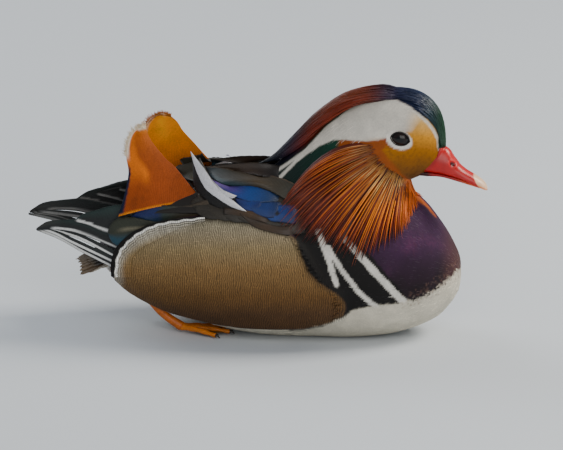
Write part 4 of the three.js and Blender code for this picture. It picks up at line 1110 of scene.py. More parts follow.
def blades_piece(name, vanes, paint, finish, along=VANE_ALONG, across=VANE_ACROSS, under=None):
    """One piece from many vanes, coloured by paint(index, along, across, places), some darker below."""
    points, faces, colours, ts, ss, tones = [], [], [], [], [], []
    pattern = plate_faces(across, along)
    for index, (top, low, t, s) in enumerate(vanes):
        start = len(points) * 2 * len(top)
        points.append(np.concatenate([top, low]))
        faces += [tuple(i + start for i in f) for f in pattern]
        shade = np.broadcast_to(paint(index, t, s, top), top.shape)
        colours.append(np.concatenate([shade, shade if under is None else over(shade, under, UNDER_SHARE)]))
        ts.append(np.tile(t, 2))
        ss.append(np.tile(s, 2))
        tones.append(np.full(2 * len(top), draws.uniform(-0.5, 0.5)))
    ts, ss = np.concatenate(ts), np.concatenate(ss)
    piece = mesh_piece(name, np.concatenate(points) * MM, faces, finish)
    face_out(piece)
    set_colours(piece, np.concatenate(colours))
    add_feather_values(piece, ts, ss, np.concatenate(tones))
    map_vanes(piece, vanes, ts, ss)
    return piece


def width_rounded(t, half, root, full, blunt):
    """Half widths of a feather that is full from one share of its length and rounds off after another."""
    grow = root + (1 - root) * ease(t, 0, full)
    end = np.sqrt(np.clip(1 - np.clip((t - blunt) / (1 - blunt), 0, 1) ** 2, 0.004, 1))
    return half * grow * end


# The leaves of the wing: vanes given by two lines of the picture, from root to tip, laid on the body.
# They are worked out on the near side and mirrored for the far one.
VIEW_COS, VIEW_SIN = math.cos(TURN), math.sin(TURN)
RISE_COS, RISE_SIN = math.cos(RISE), math.sin(RISE)
LEAF_SOFTENING = 14
LEAST_DEPTH = 8


def undrawn(spots, y):
    """Places in the side view, in mm, of spots of the picture that lie at y."""
    x = ((spots[..., 0] - ORIGIN_IN_PICTURE[0]) * UNIT / MM - y * VIEW_SIN) / VIEW_COS
    rise = (ORIGIN_IN_PICTURE[1] - spots[..., 1]) * UNIT / MM
    return x, (rise - y * VIEW_COS * RISE_SIN + x * VIEW_SIN * RISE_SIN) / RISE_COS


def side_reach(pieces):
    """A function that gives how far out to one side these pieces reach, in mm, at x and z."""
    trees = [BVHTree.FromObject(p, bpy.context.evaluated_depsgraph_get()) for p in pieces]

    def reach(x, z, side):
        far = np.zeros(len(x))
        for k, (px, pz) in enumerate(zip(x, z)):
            for tree in trees:
                start = Vector((px * MM, side * 0.2, pz * MM))
                hit = tree.ray_cast(start, Vector((0, -side, 0)))[0]
                if hit is not None:
                    far[k] = max(far[k], side * hit[1] / MM)
        return far

    return reach


def leaf(upper, lower, lift, depths=None, reach_of=None, thick=0.5, cup=0.7, ragged=0.12, seed=0.0):
    """A vane of the near side between two lines of the picture. Depths are off the bird's middle."""
    t, s, wave, body = vane_grid(VANE_ALONG, VANE_ACROSS, thick, seed)
    high, low = spline(upper, t[:, 0]), spline(lower, t[:, 0])
    reach = (s + 1) / 2 + ragged * 0.25 * wave * np.abs(s) ** 3 * np.sign(s)
    spots = high[:, None] + (low - high)[:, None] * reach[..., None]
    if depths is None:
        depth = np.full(t.shape, 35.0)
        for _ in range(4):
            x, z = undrawn(spots, -depth)
            found = reach_of(x.ravel(), z.ravel(), RIGHT).reshape(depth.shape)
            depth = np.maximum(found, LEAST_DEPTH)
        for _ in range(LEAF_SOFTENING):
            depth[1:-1] = (depth[:-2] + 2 * depth[1:-1] + depth[2:]) / 4
            depth[:, 1:-1] = (depth[:, :-2] + 2 * depth[:, 1:-1] + depth[:, 2:]) / 4
        depth = depth + lift * ease(t, 0.0, 0.3) - 1.6 * (1 - ease(t, 0.0, 0.22))
    else:
        depth = np.interp(t, np.linspace(0, 1, len(depths)), depths) + lift
    depth = depth + cup * (1 - s**2)
    x, z = undrawn(spots, -depth)
    shaft = 0.3 * thick * np.exp(-((s * 7) ** 2))
    top = np.stack([x, -(depth + body + shaft), z], 2).reshape(-1, 3)
    bottom = np.stack([x, -(depth - body), z], 2).reshape(-1, 3)
    return top, bottom, t.ravel(), s.ravel()


def depth_at(spot, reach_of, depth, rounds):
    """How far off the middle the near side is at a spot of the picture, and the x and z there."""
    for _ in range(rounds):
        x, z = undrawn(np.array(spot, float), -depth)
        depth = float(reach_of(np.array([x]), np.array([z]), RIGHT)[0])
    return depth, float(x), float(z)


def on_side(vanes, side):
    """The same vanes on the near side or mirrored on the far one."""
    return [(v[0] * (1, -side, 1), v[1] * (1, -side, 1), v[2], v[3]) for v in vanes]


# Scapulars: small rounded feathers as a ground over the shoulder, and large olive and blue leaves on top.
# They lie over the wing bed from the shoulder back to the band.
GROUND_GRID = {"along": 12, "across": 6}
GROUND_ROWS = ((0.03, 8), (0.18, 8), (0.34, 8), (0.50, 8), (0.66, 7), (0.82, 7), (0.97, 7))
ground_colour = colour("2a2620")
t = np.linspace(0, 1, GROUND_GRID["along"] + 1)
for side, word in SIDES:
    vanes = []
    for row, (v0, count) in enumerate(GROUND_ROWS):
        for k in range(count - 1, -1, -1):
            u0 = 0.99 - 0.50 * (k + 0.5 * (row % 2)) / count + 0.01 * draws.uniform(-1, 1)
            long = 0.14 + 0.006 * k
            u = u0 - long * t
            v = v0 + 0.02 * draws.uniform(-1, 1) + (0.10 - 0.1 * v0) * t
            lift = -0.9 + 0.7 * t - 0.3 * t**2 + 0.05 * row
            line = wing_at(side, u, v, lift)
            out = unit_rows(wing_at(side, u, v, 3.0) - wing_at(side, u, v, 0.0))
            half = width_rounded(t, 5.8 + 0.25 * k, 0.6, 0.35, 0.45)
            seed = row + 0.3 * k
            vanes.append(blade(line, out, half, 0.45, cup=0.12, ragged=0.12, seed=seed, **GROUND_GRID))
    piece = blades_piece("scapulars_" + word, vanes, lambda *_: ground_colour, wing_finish, **GROUND_GRID)
    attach(piece, "root")


# upper line, lower line, lift, colours at root, middle and tip
SCAPULAR_LEAVES = (
    (
        ((300, 222), (284, 226), (268, 224), (250, 218), (240, 213)),
        ((300, 238), (286, 235), (268, 231.5), (252, 225.5), (241, 215)),
        0.5, ("2b2018", "35281c", "2c2219"),
    ),
    (
        ((276, 214), (262, 213), (250, 208), (238, 204), (224, 203)),
        ((274, 226), (262, 222), (248, 219), (236, 217.5), (224, 214)),
        0.8, ("2b2018", "38291b", "261d15"),
    ),
    (
        ((305, 206), (294, 205), (284, 205), (272, 205.5), (264, 208)),
        ((300, 226), (290, 223.5), (281, 222.5), (270, 220.5), (264, 214)),
        1.0, ("081a38", "0a2a58", "123a70"),
    ),
    (
        ((288, 202), (276, 202), (266, 201), (256, 203), (251, 207)),
        ((284, 217), (276, 218), (266, 217.5), (256, 214.5), (250.5, 209)),
        1.3, ("081a36", "0b2f60", "0e2c58"),
    ),
    (
        ((272, 196), (260, 199), (250, 200.5), (242, 199.5), (236, 198.5)),
        ((268, 212), (258, 212), (249, 211), (240, 207.5), (235, 199.5)),
        1.5, ("08183a", "0b2a5a", "12183c"),
    ),
    (
        ((292, 188), (276, 190), (262, 186), (248, 184.5), (230, 186.5), (213, 180)),
        ((286, 204), (272, 202.5), (257, 203), (243, 200.5), (228, 193.5), (214, 184)),
        1.9, ("182230", "0a3a6e", "2d2858"),
    ),
    (
        ((306, 196), (292, 182.5), (276, 177), (258, 173.8), (240, 171), (222, 167.5), (206, 167)),
        ((300, 206), (288, 201), (274, 193.5), (256, 187.5), (238, 186.5), (222, 184.5), (208, 174)),
        2.3, ("2a2b26", "33291b", "232a2c"),
    ),
    (
        ((282, 166), (266, 164), (252, 163.4), (236, 164), (222, 165.3), (212, 167.5)),
        ((282, 178), (266, 177), (252, 174.5), (238, 172.4), (224, 169.6), (212.5, 168)),
        2.0, ("1c1714", "2b2019", "2a231b"),
    ),
    (
        ((200, 158), (194, 162), (188, 163.5), (180, 165), (176, 167)),
        ((214, 184), (204, 184), (195, 181.5), (184, 178), (176.5, 168)),
        1.0, ("2a2620", "2d2b22", "26251e"),
    ),
)  # fmt: skip
SPOTTED_LEAF, VIOLET_LEAF, GREEN_LEAF = 2, 5, 6
SPOT = (277, 213.5)
LEAF_STAND_OFF = 0.9
beds_reach = side_reach([skin, beds[RIGHT]])


def scapular_paint(k, t, s, p):
    paint = ramp(t, tuple(zip((0.1, 0.5, 0.95), SCAPULAR_LEAVES[k][3])))
    paint = over(paint, "0d0c0b", 0.55 * ease(np.abs(s), 0.72, 1.0) + 0.3 * ease(t, 0.93, 1.0))
    if k == VIOLET_LEAF:
        paint = over(paint, "4a3468", 0.6 * ease(t, 0.55, 0.8) * (1 - ease(s, -0.2, 0.6)))
    if k == GREEN_LEAF:
        paint = over(paint, "24404a", 0.55 * ease(s, 0.1, 0.8) * ease(t, 0.45, 0.7))
        paint = over(paint, "5a4a3c", 0.6 * (1 - ease(s, -1.0, -0.8)))
    if k == SPOTTED_LEAF:
        gap = drawn(p) - SPOT
        paint = over(paint, BLACK, 1 - ease(np.hypot(gap[:, 0] / 1.3, gap[:, 1]), 1.6, 2.6))
    return paint


near_leaves = [
    leaf(upper, lower, lift + LEAF_STAND_OFF, reach_of=beds_reach, seed=0.7 * k)
    for k, (upper, lower, lift, _) in enumerate(SCAPULAR_LEAVES)
]
for side, word in SIDES:
    piece = blades_piece("scapular_leaves_" + word, on_side(near_leaves, side), scapular_paint, wing_finish)
    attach(piece, "root")


# Tertials: the long inner wing feathers over the folded quills, navy and olive, with pale shafts.
# Two lie over the back, and two show outside, the lower a broad leaf with a teal lower web.
TERTIALS = (
    (((-40, 36, 109), (-70, 33, 107), (-100, 28, 99.5)), 7.5),
    (((-46, 39, 105), (-78, 36, 101), (-110, 31, 91.5)), 8),
)
NAVY_LEAF = (
    ((212, 198), (205, 200.2), (187, 205.6), (167, 205.4), (154, 206.3), (141, 209.6), (131.4, 216.4)),
    ((214, 222), (205, 221), (190, 221.5), (172, 225), (156, 226), (144, 223.5), (132, 217.6)),
)
TEAL_LEAF = (
    ((176, 219), (159, 221.5), (144, 219.5), (131, 216.8), (119.5, 218), (111.6, 224.5), (108.4, 232)),
    ((176, 224), (162, 230), (148, 238), (134, 246), (121.5, 248), (112.8, 242), (108.7, 234)),
)
INNER_WEBS = ((colour("1d1f22"), colour("181d2a")), (colour("202228"), colour("131d3a")))
NAVY_COLOURS = ((136, "141c48"), (158, "162048"), (164, "26302c"), (180, "332f26"), (196, "3a3024"))
PALE_SHAFT = colour("7a7462")


def tertial_paint(k, t, s, p):
    px = drawn(p)[:, 0]
    if k < len(INNER_WEBS):
        upper, lower = INNER_WEBS[k]
        paint = over(upper, lower, ease(s, -0.15, 0.15))
        return over(paint, PALE_SHAFT, (1 - ease(np.abs(s), 0.0, 0.12)) * 0.5)
    if k == len(INNER_WEBS):
        paint = ramp(px, NAVY_COLOURS)
        paint = over(paint, "20352f", 0.5 * ease(s, -0.2, 0.6) * (px < 160))
        return over(paint, BLACK, 0.6 * (1 - ease(s, -1.0, -0.9)))
    paint = over(colour("25271d"), "10333f", ease(s, 0.0, 0.5))
    paint = over(paint, "1a5068", 0.8 * ease(s, 0.2, 0.6) * np.exp(-(((px - 138) / 12) ** 2)))
    paint = over(paint, "161a18", ease(t, 0.86, 1.0) * 0.5)
    return over(paint, PALE_SHAFT, (1 - ease(np.abs(s + 0.25), 0.02, 0.10)) * (1 - ease(t, 0.6, 0.8)) * 0.8)


vane_t = np.linspace(0, 1, VANE_ALONG + 1)
for side, word in SIDES:
    vanes = []
    for k, (rows, half) in enumerate(TERTIALS):
        line = spline(rows, vane_t) * (1, side, 1)
        out = (line - (0, 0, AXIS_Z)) * (0, 1, 1)
        half = width_rounded(vane_t, half, 0.6, 0.3, 0.6)
        top, low, t, s = blade(line, unit_rows(out), half, 0.7, cup=0.1, seed=k + 0.5)
        vanes.append((top, low, t, -side * s))
    outer = [
        leaf(*NAVY_LEAF, 0.0, depths=(45, 44.5, 43.2, 41, 38), seed=0.3),
        leaf(*TEAL_LEAF, 0.0, depths=(43.5, 42.6, 41.2, 39.4, 37.5), seed=0.9),
    ]
    piece = blades_piece("tertials_" + word, vanes + on_side(outer, side), tertial_paint, wing_finish)
    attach(piece, "root")


# The shoulder band: stiff white feathers edged with black that curve up and stand free at their points.
# On the left they lie lower, behind the sail.
WHITE_BLADE = (
    (
        (247, 211.4), (239, 205), (231.6, 199), (224, 192.5), (213.5, 181.5), (204.8, 168.8), (197, 158.8),
        (191.3, 151.6),
    ),
    (
        (247, 211.8), (239, 209.8), (230, 206.2), (218, 198.4), (206, 189), (199.2, 177), (194.6, 164.8),
        (191, 152.2),
    ),
)  # fmt: skip
SHORT_BLADE = (
    ((237.4, 196), (230, 193), (223.5, 189.8), (217, 184.6), (211, 178)),
    ((237, 196.4), (233, 198.6), (226, 197.6), (218, 191), (211, 182)),
)
BLACK_BLADE = (
    ((248, 211), (238, 205), (226, 196), (214, 187), (204, 176), (197, 164), (193.6, 157)),
    ((248, 213.5), (240, 213.6), (229, 211.4), (215.5, 207), (204, 198.6), (194.8, 186), (193.2, 161)),
)
BAND_DEPTHS = (47.5, 48.6, 48.4, 46.5, 43, 37.5, 31, 26)
LEFT_BAND_DROP = 26
band_finish = feather_finish("band_feathers", roughness=0.55, specular=0.35, barbs=0.8)
band_colours = (BLACK, BLACK, colour("d4d3d6"), colour("d0cfd2"))


def band_paint(k, t, s, p):
    """The white blades have a black upper edge."""
    return over(band_colours[k], BLACK, 0.85 * ease(-s, 0.9, 1.0) * (k > 1))


for side, word in SIDES:
    vanes = [
        leaf(*BLACK_BLADE, 0.2, depths=BAND_DEPTHS, seed=0.2),
        leaf(*BLACK_BLADE, 1.2, depths=BAND_DEPTHS, seed=0.6),
        leaf(*SHORT_BLADE, 2.6, depths=BAND_DEPTHS[:6], seed=0.5),
        leaf(*WHITE_BLADE, 3.3, depths=BAND_DEPTHS, seed=0.4),
    ]
    if side == LEFT:
        for points in (points for vane in vanes for points in vane[:2]):
            fall = np.clip((-12 - points[:, 0]) / 46, 0, 1)
            points[:, 2] -= LEFT_BAND_DROP * fall**1.5
            points[:, 1] -= 7 * fall
    piece = blades_piece("band_" + word, on_side(vanes, side), band_paint, band_finish)
    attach(piece, "root")


# The edge of the side panel: feathers with a black tip, a white line and fine bars, side by side along it.
# Each points out across the edge, so that their tips make one even line.
EDGE_LINE = (
    (111.5, 276), (111.6, 264), (114.8, 251), (120.5, 243), (127, 237), (135, 231.3), (145, 226.4),
    (154, 223), (163, 220.7), (176, 218.8), (190, 217.3), (204, 216.2),
)  # fmt: skip
EDGE_COUNT = 84
EDGE_LONG = 17


def edge_paint(k, t, s, p):
    """Buff at the root, bars, then the white line and the black tip, measured from the tip in units."""
    at = edge_shares[k]
    black = np.interp(at, (0, 0.3, 0.75, 1), (5.8, 6.4, 4.0, 2.4))
    white = np.interp(at, (0, 0.75, 1), (1.8, 1.7, 1.3))
    barred = np.interp(at, (0, 0.35, 0.8, 1), (3.5, 8, 8, 4))
    gap = (1 - t) * longs[k] + 0.35 * np.sin(7.0 * k) + 0.5 * s * s
    ground = flank_colours(p * (1, -np.sign(p[:1, 1])[0], 1))
    inner = gap - black - white
    bars = 0.5 + 0.5 * np.sin(2 * np.pi * inner / 1.75)
    paint = over(ground, BLACK, ease(bars, 0.5, 0.9) * (1 - ease(inner, 1, barred)) * 0.85)
    paint = over(paint, "cfc9bd", (1 - ease(bars, 0.1, 0.5)) * (1 - ease(inner, 1, barred)) * 0.6)
    paint = over(paint, "e4e1da", 1 - ease(inner, -0.3, 0.3))
    return over(paint, BLACK, 1 - ease(gap, black - 0.4, black + 0.3))


edge_reach = side_reach([skin, panels[RIGHT]])
edge_shares = (np.arange(EDGE_COUNT) + 0.5) / EDGE_COUNT
tips = spline(EDGE_LINE, edge_shares)
ahead = spline(EDGE_LINE, np.minimum(edge_shares + 0.01, 1))
behind = spline(EDGE_LINE, np.maximum(edge_shares - 0.01, 0))
ways = unit_rows(ahead - behind)
inward = np.stack([-ways[:, 1], ways[:, 0]], 1)
longs = EDGE_LONG * (1 - 0.62 * ease(edge_shares, 0.55, 1.0))
near_edge = []
for k in range(EDGE_COUNT):
    tip = tips[k]
    near_tip = inward[k] * 0.5
    root = tip + inward[k] * longs[k] + (3.0 * (1 - edge_shares[k]), 0)
    middle_spot = (root + tip) / 2
    wide = ways[k] * 1.9
    upper = (root + wide, middle_spot + wide * 1.1, tip + wide * 0.7 + near_tip, tip + wide * 0.1)
    lower = (root - wide, middle_spot - wide * 1.1, tip - wide * 0.7 + near_tip, tip - wide * 0.1)
    at_root, at_middle = [depth_at(spot, edge_reach, 40.0, 4)[0] for spot in (root, middle_spot)]
    droop = np.interp(edge_shares[k], (0, 0.4, 1), (1.2, 1.9, 1.7))
    depths = (at_root + 0.1, at_middle + 0.9, max(at_middle, at_root - 2) + 0.9 - droop)
    near_edge.append(leaf(upper, lower, 0.25, depths=depths, thick=0.3, cup=0.2, ragged=0.3, seed=k))
for side, word in SIDES:
    piece = blades_piece("flank_" + word + "_edge", on_side(near_edge, side), edge_paint, buff_finish)
    set_values(piece, bar_reach(points_of(piece)), "reach")
    set_values(piece, np.full(len(piece.data.vertices), 0.8), "barred")
    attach(piece, "root")


# Sails: the two inner feathers that stand up over the back, cinnamon-orange with a cream rim.
# The right one is seen on its shaded outer face, the left one past it, in the light.
SAIL_EDGES = {
    RIGHT: (
        (
            (-109.8, 94.2), (-105.6, 112), (-103.8, 125.6), (-106.1, 136.5), (-105.4, 146.1),
            (-102.6, 153), (-96.7, 158.2),
        ),
        (
            (-46, 108), (-57.5, 119.2), (-68.2, 130.3), (-76.5, 136.9), (-87.9, 148.9), (-91.6, 155.5),
            (-92.9, 159),
        ),
    ),
    LEFT: (
        ((-106, 95), (-102, 112), (-101, 127), (-102, 138), (-98.5, 149), (-92.2, 156.3), (-85.5, 160)),
        (
            (-41, 110.5), (-46.4, 115.7), (-53.9, 124.3), (-61.7, 134.9), (-69.7, 145.4), (-73.5, 153),
            (-79, 159),
        ),
    ),
}  # fmt: skip
SAIL_FOOT, SAIL_TIP = (42, 95), (17, 157)
SAIL_HOLLOW = 3
SAIL_ACROSS, SAIL_UP = 60, 70
SAIL_HAIRS = 260
HAIR_GRID = {"along": 4, "across": 2}
HAIR_HALVES = np.array([0.24, 0.22, 0.18, 0.12, 0.03])
# Painted shade and light: the colours of the right sail painted in shade and of the left one painted in the
# light.
SHADED_SAIL = ((0, "86420f"), (0.3, "8c4610"), (0.6, "924c10"), (0.85, "a65c12"), (1, "c07c2c"))
LIT_SAIL = ((0, "c66f14"), (0.4, "dc861a"), (0.75, "eb9722"), (0.93, "ea9628"), (1, "b4703a"))
HAIR_COLOURS = {RIGHT: colour("d8c7ae"), LEFT: colour("a8683a")}
sail_finish = feather_finish("sail_feathers", roughness=0.62, specular=0.2, barbs=1.3)


def sail_at(side, u, v, lift=0.0):
    rear, front = [spline(edge, v) for edge in SAIL_EDGES[side]]
    p = rear + (front - rear) * u[:, None]
    up = (p[:, 1] - SAIL_FOOT[1]) / (SAIL_TIP[1] - SAIL_FOOT[1])
    hollow = SAIL_HOLLOW * np.sin(np.pi * np.clip(u, 0, 1)) * (1 - 0.5 * v)
    y = SAIL_FOOT[0] + (SAIL_TIP[0] - SAIL_FOOT[0]) * up + hollow
    arch = 2.4 * np.sin(np.pi * np.clip(u, 0, 1)) * (1 - v) ** 2
    return np.stack([p[:, 0], side * (y + lift), p[:, 1] + arch], 1)


def sail_paint(side, u, v, points):
    ragged = patchy(points, 3, 4.0)
    streak = patchy(points * (1, 1, 0.25), 5, 2.0)
    if side == RIGHT:
        # Painted shade and light: the right sail is painted in shade, lighter towards its top, with lighter
        # orange patches where light reaches it and a darker lower front.
        paint = ramp(v, SHADED_SAIL)
        rear = 1 - ease(u - 0.34 * (1 - v) + 0.05 * streak, 0.06, 0.26)
        paint = over(paint, "cc7210", rear * ease(v, 0.2, 0.5))
        spot = np.exp(-(((u - 0.36) / 0.07) ** 2) - ((v - 0.36) / 0.09) ** 2)
        paint = over(paint, "cf7412", 0.8 * spot)
        paint = over(paint, "7a3c10", 0.35 * ease(u, 0.6, 0.95) * (1 - ease(v, 0.5, 0.8)))
    else:
        # Painted light: the left sail is painted as lit, with a painted shine of pale orange.
        paint = ramp(v, LIT_SAIL)
        painted_shine = np.exp(-(((u - 0.55 + 0.2 * v) / 0.16) ** 2))
        paint = over(paint, "f2ab45", 0.6 * painted_shine * ease(v, 0.4, 0.7))
    paint = over(paint, paint * 0.6, (0.35 if side == RIGHT else 0.15) * ease(streak, 0.1, 0.6))
    rear_web = (1 - ease(u + 0.02 * ragged, 0.035, 0.065)) * (1 - ease(v, 0.38, 0.55))
    paint = over(paint, "10152c", rear_web)
    rear_rim = (1 - ease(u + 0.02 * streak, 0.03, 0.13)) * ease(v, 0.50, 0.62)
    rim = np.maximum(rear_rim, ease(v + 0.03 * ragged, 0.90, 0.985))
    strength = 0.95 if side == RIGHT else 0.5 * (1 - ease(u, 0.2, 0.7)) + 0.1
    paint = over(paint, "e9e0d0", np.clip(rim, 0, 1) * strength)
    foot = 1 - ease(v, 0.006, 0.022)
    return over(paint, "d98a34", foot * 0.9)


for side, word in SIDES:
    u, v = unit_grid(SAIL_ACROSS + 1, SAIL_UP + 1)
    thick = 0.6 - 0.35 * v
    outer, inner = sail_at(side, u, v, thick / 2), sail_at(side, u, v, -thick / 2)
    sail = sheet_piece("sail_" + word + "_vane", outer, inner, SAIL_ACROSS, SAIL_UP, sail_finish)
    set_colours(sail, np.tile(sail_paint(side, u, v, outer), (2, 1)))
    fan = 0.9 * u + 0.25 * (1 - v)
    add_feather_values(sail, np.tile(fan, 2) * 2.2, np.tile(v, 2) * 3.0)
    cell = np.stack([0.04 + 0.42 * u, 0.05 + 0.9 * v], 1)
    set_bake_map(sail, np.concatenate([cell, cell + (0.5, 0)]), np.zeros((2 * len(cell), 2)))
    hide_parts("sail_" + word)
    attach(sail, "root")
    hairs = []
    for k in range(SAIL_HAIRS):
        share = (k + draws.uniform(0, 1)) / SAIL_HAIRS
        u0, v0 = (share * 2.2, 0.975) if share < 0.45 else (0.012, 0.975 - (share - 0.45) * 0.75)
        u0 = min(u0, 0.98)
        foot = sail_at(side, np.array([u0]), np.array([v0]))[0]
        back = sail_at(side, np.array([0.5]), np.array([v0 - 0.35]))[0]
        way = (foot - back) / np.linalg.norm(foot - back) + 0.25 * draws.normal(0, 1, 3) * (1, 0.3, 1)
        long = draws.uniform(1.6, 3.4)
        line = foot + np.linspace(-0.3, 1, len(HAIR_HALVES))[:, None] * way * long
        line[:, 0] -= 0.8 * np.linspace(0, 1, len(HAIR_HALVES)) ** 2
        out = np.tile((0.0, float(side), 0.0), (len(HAIR_HALVES), 1))
        hairs.append(blade(line, out, HAIR_HALVES, 0.2, ragged=0.0, **HAIR_GRID))
    shade = HAIR_COLOURS[side]
    fringe = blades_piece("sail_" + word + "_fringe", hairs, lambda *_: shade, sail_finish, **HAIR_GRID)
    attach(fringe, "root")


# Primaries: the folded flight quills, each with a silver-white outer web below and a dark one above.
# They are laid like tiles, the lowest innermost, under two broad dark webs.
# upper line, lower line, width of the white web
QUILLS = (
    (
        ((130, 270), (111, 261), (83, 246), (60, 234.5), (36.5, 228.4)),
        ((130, 277), (111, 266.6), (83, 252.6), (60, 239.6), (37, 230.4)),
        2.7,
    ),
    (
        ((130, 264), (111, 255), (74, 238), (57, 230.5), (39, 226.8)),
        ((130, 271), (111, 261.6), (74, 244), (57, 235.4), (39.5, 229)),
        2.7,
    ),
    (
        ((130, 258), (113, 249), (83, 234.5), (67, 229.5), (42, 226)),
        ((130, 265.5), (113, 256.2), (83, 240.6), (67, 235), (44, 229)),
        2.8,
    ),
    (
        (
            (134, 240), (118, 232), (100, 226), (80, 220), (64.2, 219.8), (48.8, 221), (41.4, 225),
            (37.2, 228),
        ),
        (
            (134, 257), (119, 249.6), (95, 239.2), (74, 232.2), (60, 229.8), (54, 229.6), (45, 229.8),
            (37.4, 229.8),
        ),
        2.8,
    ),
    (
        ((134, 203), (124, 204), (113.7, 205.6), (105, 207.6), (97.7, 209.8), (84.3, 213.8), (74.6, 220.4)),
        ((134, 243), (120, 238), (108, 233.4), (98, 229.2), (91.7, 226.4), (83, 223.4), (74.9, 221.5)),
        3.3,
    ),
    (
        ((132, 212), (120, 211), (108, 211.6), (98, 213.6), (91, 216)),
        ((132, 236), (120, 230.4), (112, 226.2), (101, 221), (91.4, 217.2)),
        2.9,
    ),
    (
        ((132, 205), (126, 205.5), (120, 207), (114, 209.5), (110.5, 212)),
        ((132, 224), (126, 220.8), (120, 217.8), (115, 215.4), (110.8, 213)),
        2.6,
    ),
)  # fmt: skip
BROAD_QUILLS = (3, 4)
WEB_ENDS = {3: 0.80, 4: 0.96}
QUILL_ROOT_DEPTH, QUILL_TIP_DEPTH = 34.5, 21
LEFT_STRETCH, STRETCH_FROM_X = 1.17, -100
QUILL_DARK, QUILL_WEB = colour("121312"), colour("d6d5d2")
quill_finish = feather_finish("flight_feathers", roughness=0.45, specular=0.4, barbs=0.8)


def quill_paint(k, t, s, p):
    upper, lower, web = QUILLS[k]
    green = 0.9 if k in BROAD_QUILLS else 0.2
    paint = over(QUILL_DARK, "1d2b28", green * ease(-s, -0.2, 0.8))
    paint = over(paint, "33312d", ease(t, 0.55, 0.95) * ease(-s, -0.3, 0.6) * (k == BROAD_QUILLS[0]))
    high, low = spline(upper, t), spline(lower, t)
    gap = (1 - s) / 2 * np.linalg.norm(high - low, axis=1)
    start = WEB_ENDS.get(k, 0.97)
    white = (1 - ease(gap, web - 0.3, web + 0.2)) * (1 - ease(t, start - 0.04, start + 0.02))
    white = white * ease(gap, 0.25, 0.55)
    return over(paint, QUILL_WEB, white)


near_quills = []
for k, (upper, lower, _) in enumerate(QUILLS):
    root_depth = QUILL_ROOT_DEPTH + 0.6 * k
    tip_depth = QUILL_TIP_DEPTH + 0.6 * k + (6.5 if k > 3 else 0)
    depths = (root_depth, tip_depth)
    near_quills.append(leaf(upper, lower, 0.0, depths=depths, cup=0.35, ragged=0.05, seed=k))
for side, word in SIDES:
    vanes = on_side(near_quills, side)
    if side == LEFT:
        for x in (points[:, 0] for vane in vanes for points in vane[:2]):
            x[:] = np.where(x < STRETCH_FROM_X, STRETCH_FROM_X + (x - STRETCH_FROM_X) * LEFT_STRETCH, x)
    piece = blades_piece("quills_" + word, vanes, quill_paint, quill_finish, under=QUILL_DARK)
    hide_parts("primaries_" + word)
    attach(piece, "root")


# Tail: a short fan of brown-grey feathers with white under-coverts that droops behind the rump.
# They grow from the end of the rump, the middle pair on top.
TAIL_ROOT = (-110, 0, 67)
TAIL_REACH = 38
TAIL_SPREAD = 0.5
TAIL_COUNT = 14
# share of the reach, lift, half width, colour
TAIL_LAYERS = (
    (1.0, 0.0, 5.0, "4a3d2e"),
    (0.8, 1.2, 5.2, "2c2a27"),
    (0.86, -2.0, 5.0, "d8d2c6"),
    (0.6, -3.6, 5.4, "d8d2c6"),
)
tail_finish = feather_finish("tail_feathers", roughness=0.6, specular=0.3, barbs=0.8)


def tail_line(way, reach_share, lift, t):
    spread = way * TAIL_SPREAD
    reach = TAIL_REACH * reach_share * (1 - 0.1 * abs(way)) * t
    x = TAIL_ROOT[0] - math.cos(spread) * reach
    y = math.sin(spread) * reach + 9 * way
    z = TAIL_ROOT[2] - 6.5 * way * way - 1.5 * abs(way) - reach * (0.42 + 0.08 * t) + lift
    return np.stack([x, y, z], 1)


def tail_paint(k, t, s, p):
    return over(colour(TAIL_LAYERS[k // TAIL_COUNT][3]), "6a5a45", 0.5 * ease(t, 0.8, 1))


vanes = []
for layer, (reach_share, lift, half, _) in enumerate(TAIL_LAYERS):
    for k in range(TAIL_COUNT):
        way = -1 + 2 * (k + 0.5) / TAIL_COUNT
        line = tail_line(way, reach_share * (1 + 0.04 * draws.uniform(-1, 1)), lift, vane_t)
        out = np.tile(unit_rows(np.array([[-0.4, way * 0.45, 1.0]])), (len(vane_t), 1))
        half_widths = width_rounded(vane_t, half, 0.7, 0.3, 0.6)
        vanes.append(blade(line, out, half_widths, 0.45, cup=0.1, seed=k + layer))
tail = blades_piece("tail_fan", vanes, tail_paint, tail_finish)
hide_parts("tail")
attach(tail, "root")


# Hackles and silky strands: long narrow locks, each a flat tapered blade that bends along its lie.
# A lock has a raised middle and thin edges, and its colour runs from root to tip.
def strands_piece(name, lines, outs, halves, thick, colours, finish, unwrap):
    """Locks from lines (count, rings, 3) in mm, with the way out, half widths and colours at each ring."""
    lines, outs, halves, colours = [np.array(v) for v in (lines, outs, halves, colours)]
    count, rings, _ = lines.shape
    tangents = np.gradient(lines, axis=1)
    tangents /= np.maximum(np.linalg.norm(tangents, axis=2, keepdims=True), 1e-9)
    outs = outs - (outs * tangents).sum(2, keepdims=True) * tangents
    outs /= np.maximum(np.linalg.norm(outs, axis=2, keepdims=True), 1e-9)
    sides = np.cross(tangents, outs)
    reach = sides * halves[..., None]
    height = outs * thick * 0.5
    sag = outs * (halves * 0.35)[..., None]
    ring = np.stack([lines - reach - sag, lines + height, lines + reach - sag, lines - height * 0.6], 2)
    points = ring.reshape(-1, 3)
    quads = np.array([face[:1] + face[:0:-1] for face in tube_faces(rings, 4)])
    faces = (quads[None] + (np.arange(count) * rings * 4)[:, None, None]).reshape(-1, 4)
    piece = mesh_piece(name, points * MM, faces.tolist(), finish)
    set_colours(piece, np.repeat(colours.reshape(-1, 3), 4, axis=0))
    along = np.repeat(np.tile(np.linspace(0, 1, rings), count), 4)
    across = np.tile([-1, 0, 1, 0], count * rings)
    tone = np.repeat(np.clip(draws.normal(0, 0.45, count), -1, 1), rings * 4)
    add_feather_values(piece, along, across, tone)
    homes = np.repeat(unwrap, rings * 4, axis=0)
    set_bake_map(piece, homes, np.stack([across * 0.4, along - 0.5], 1))
    return piece


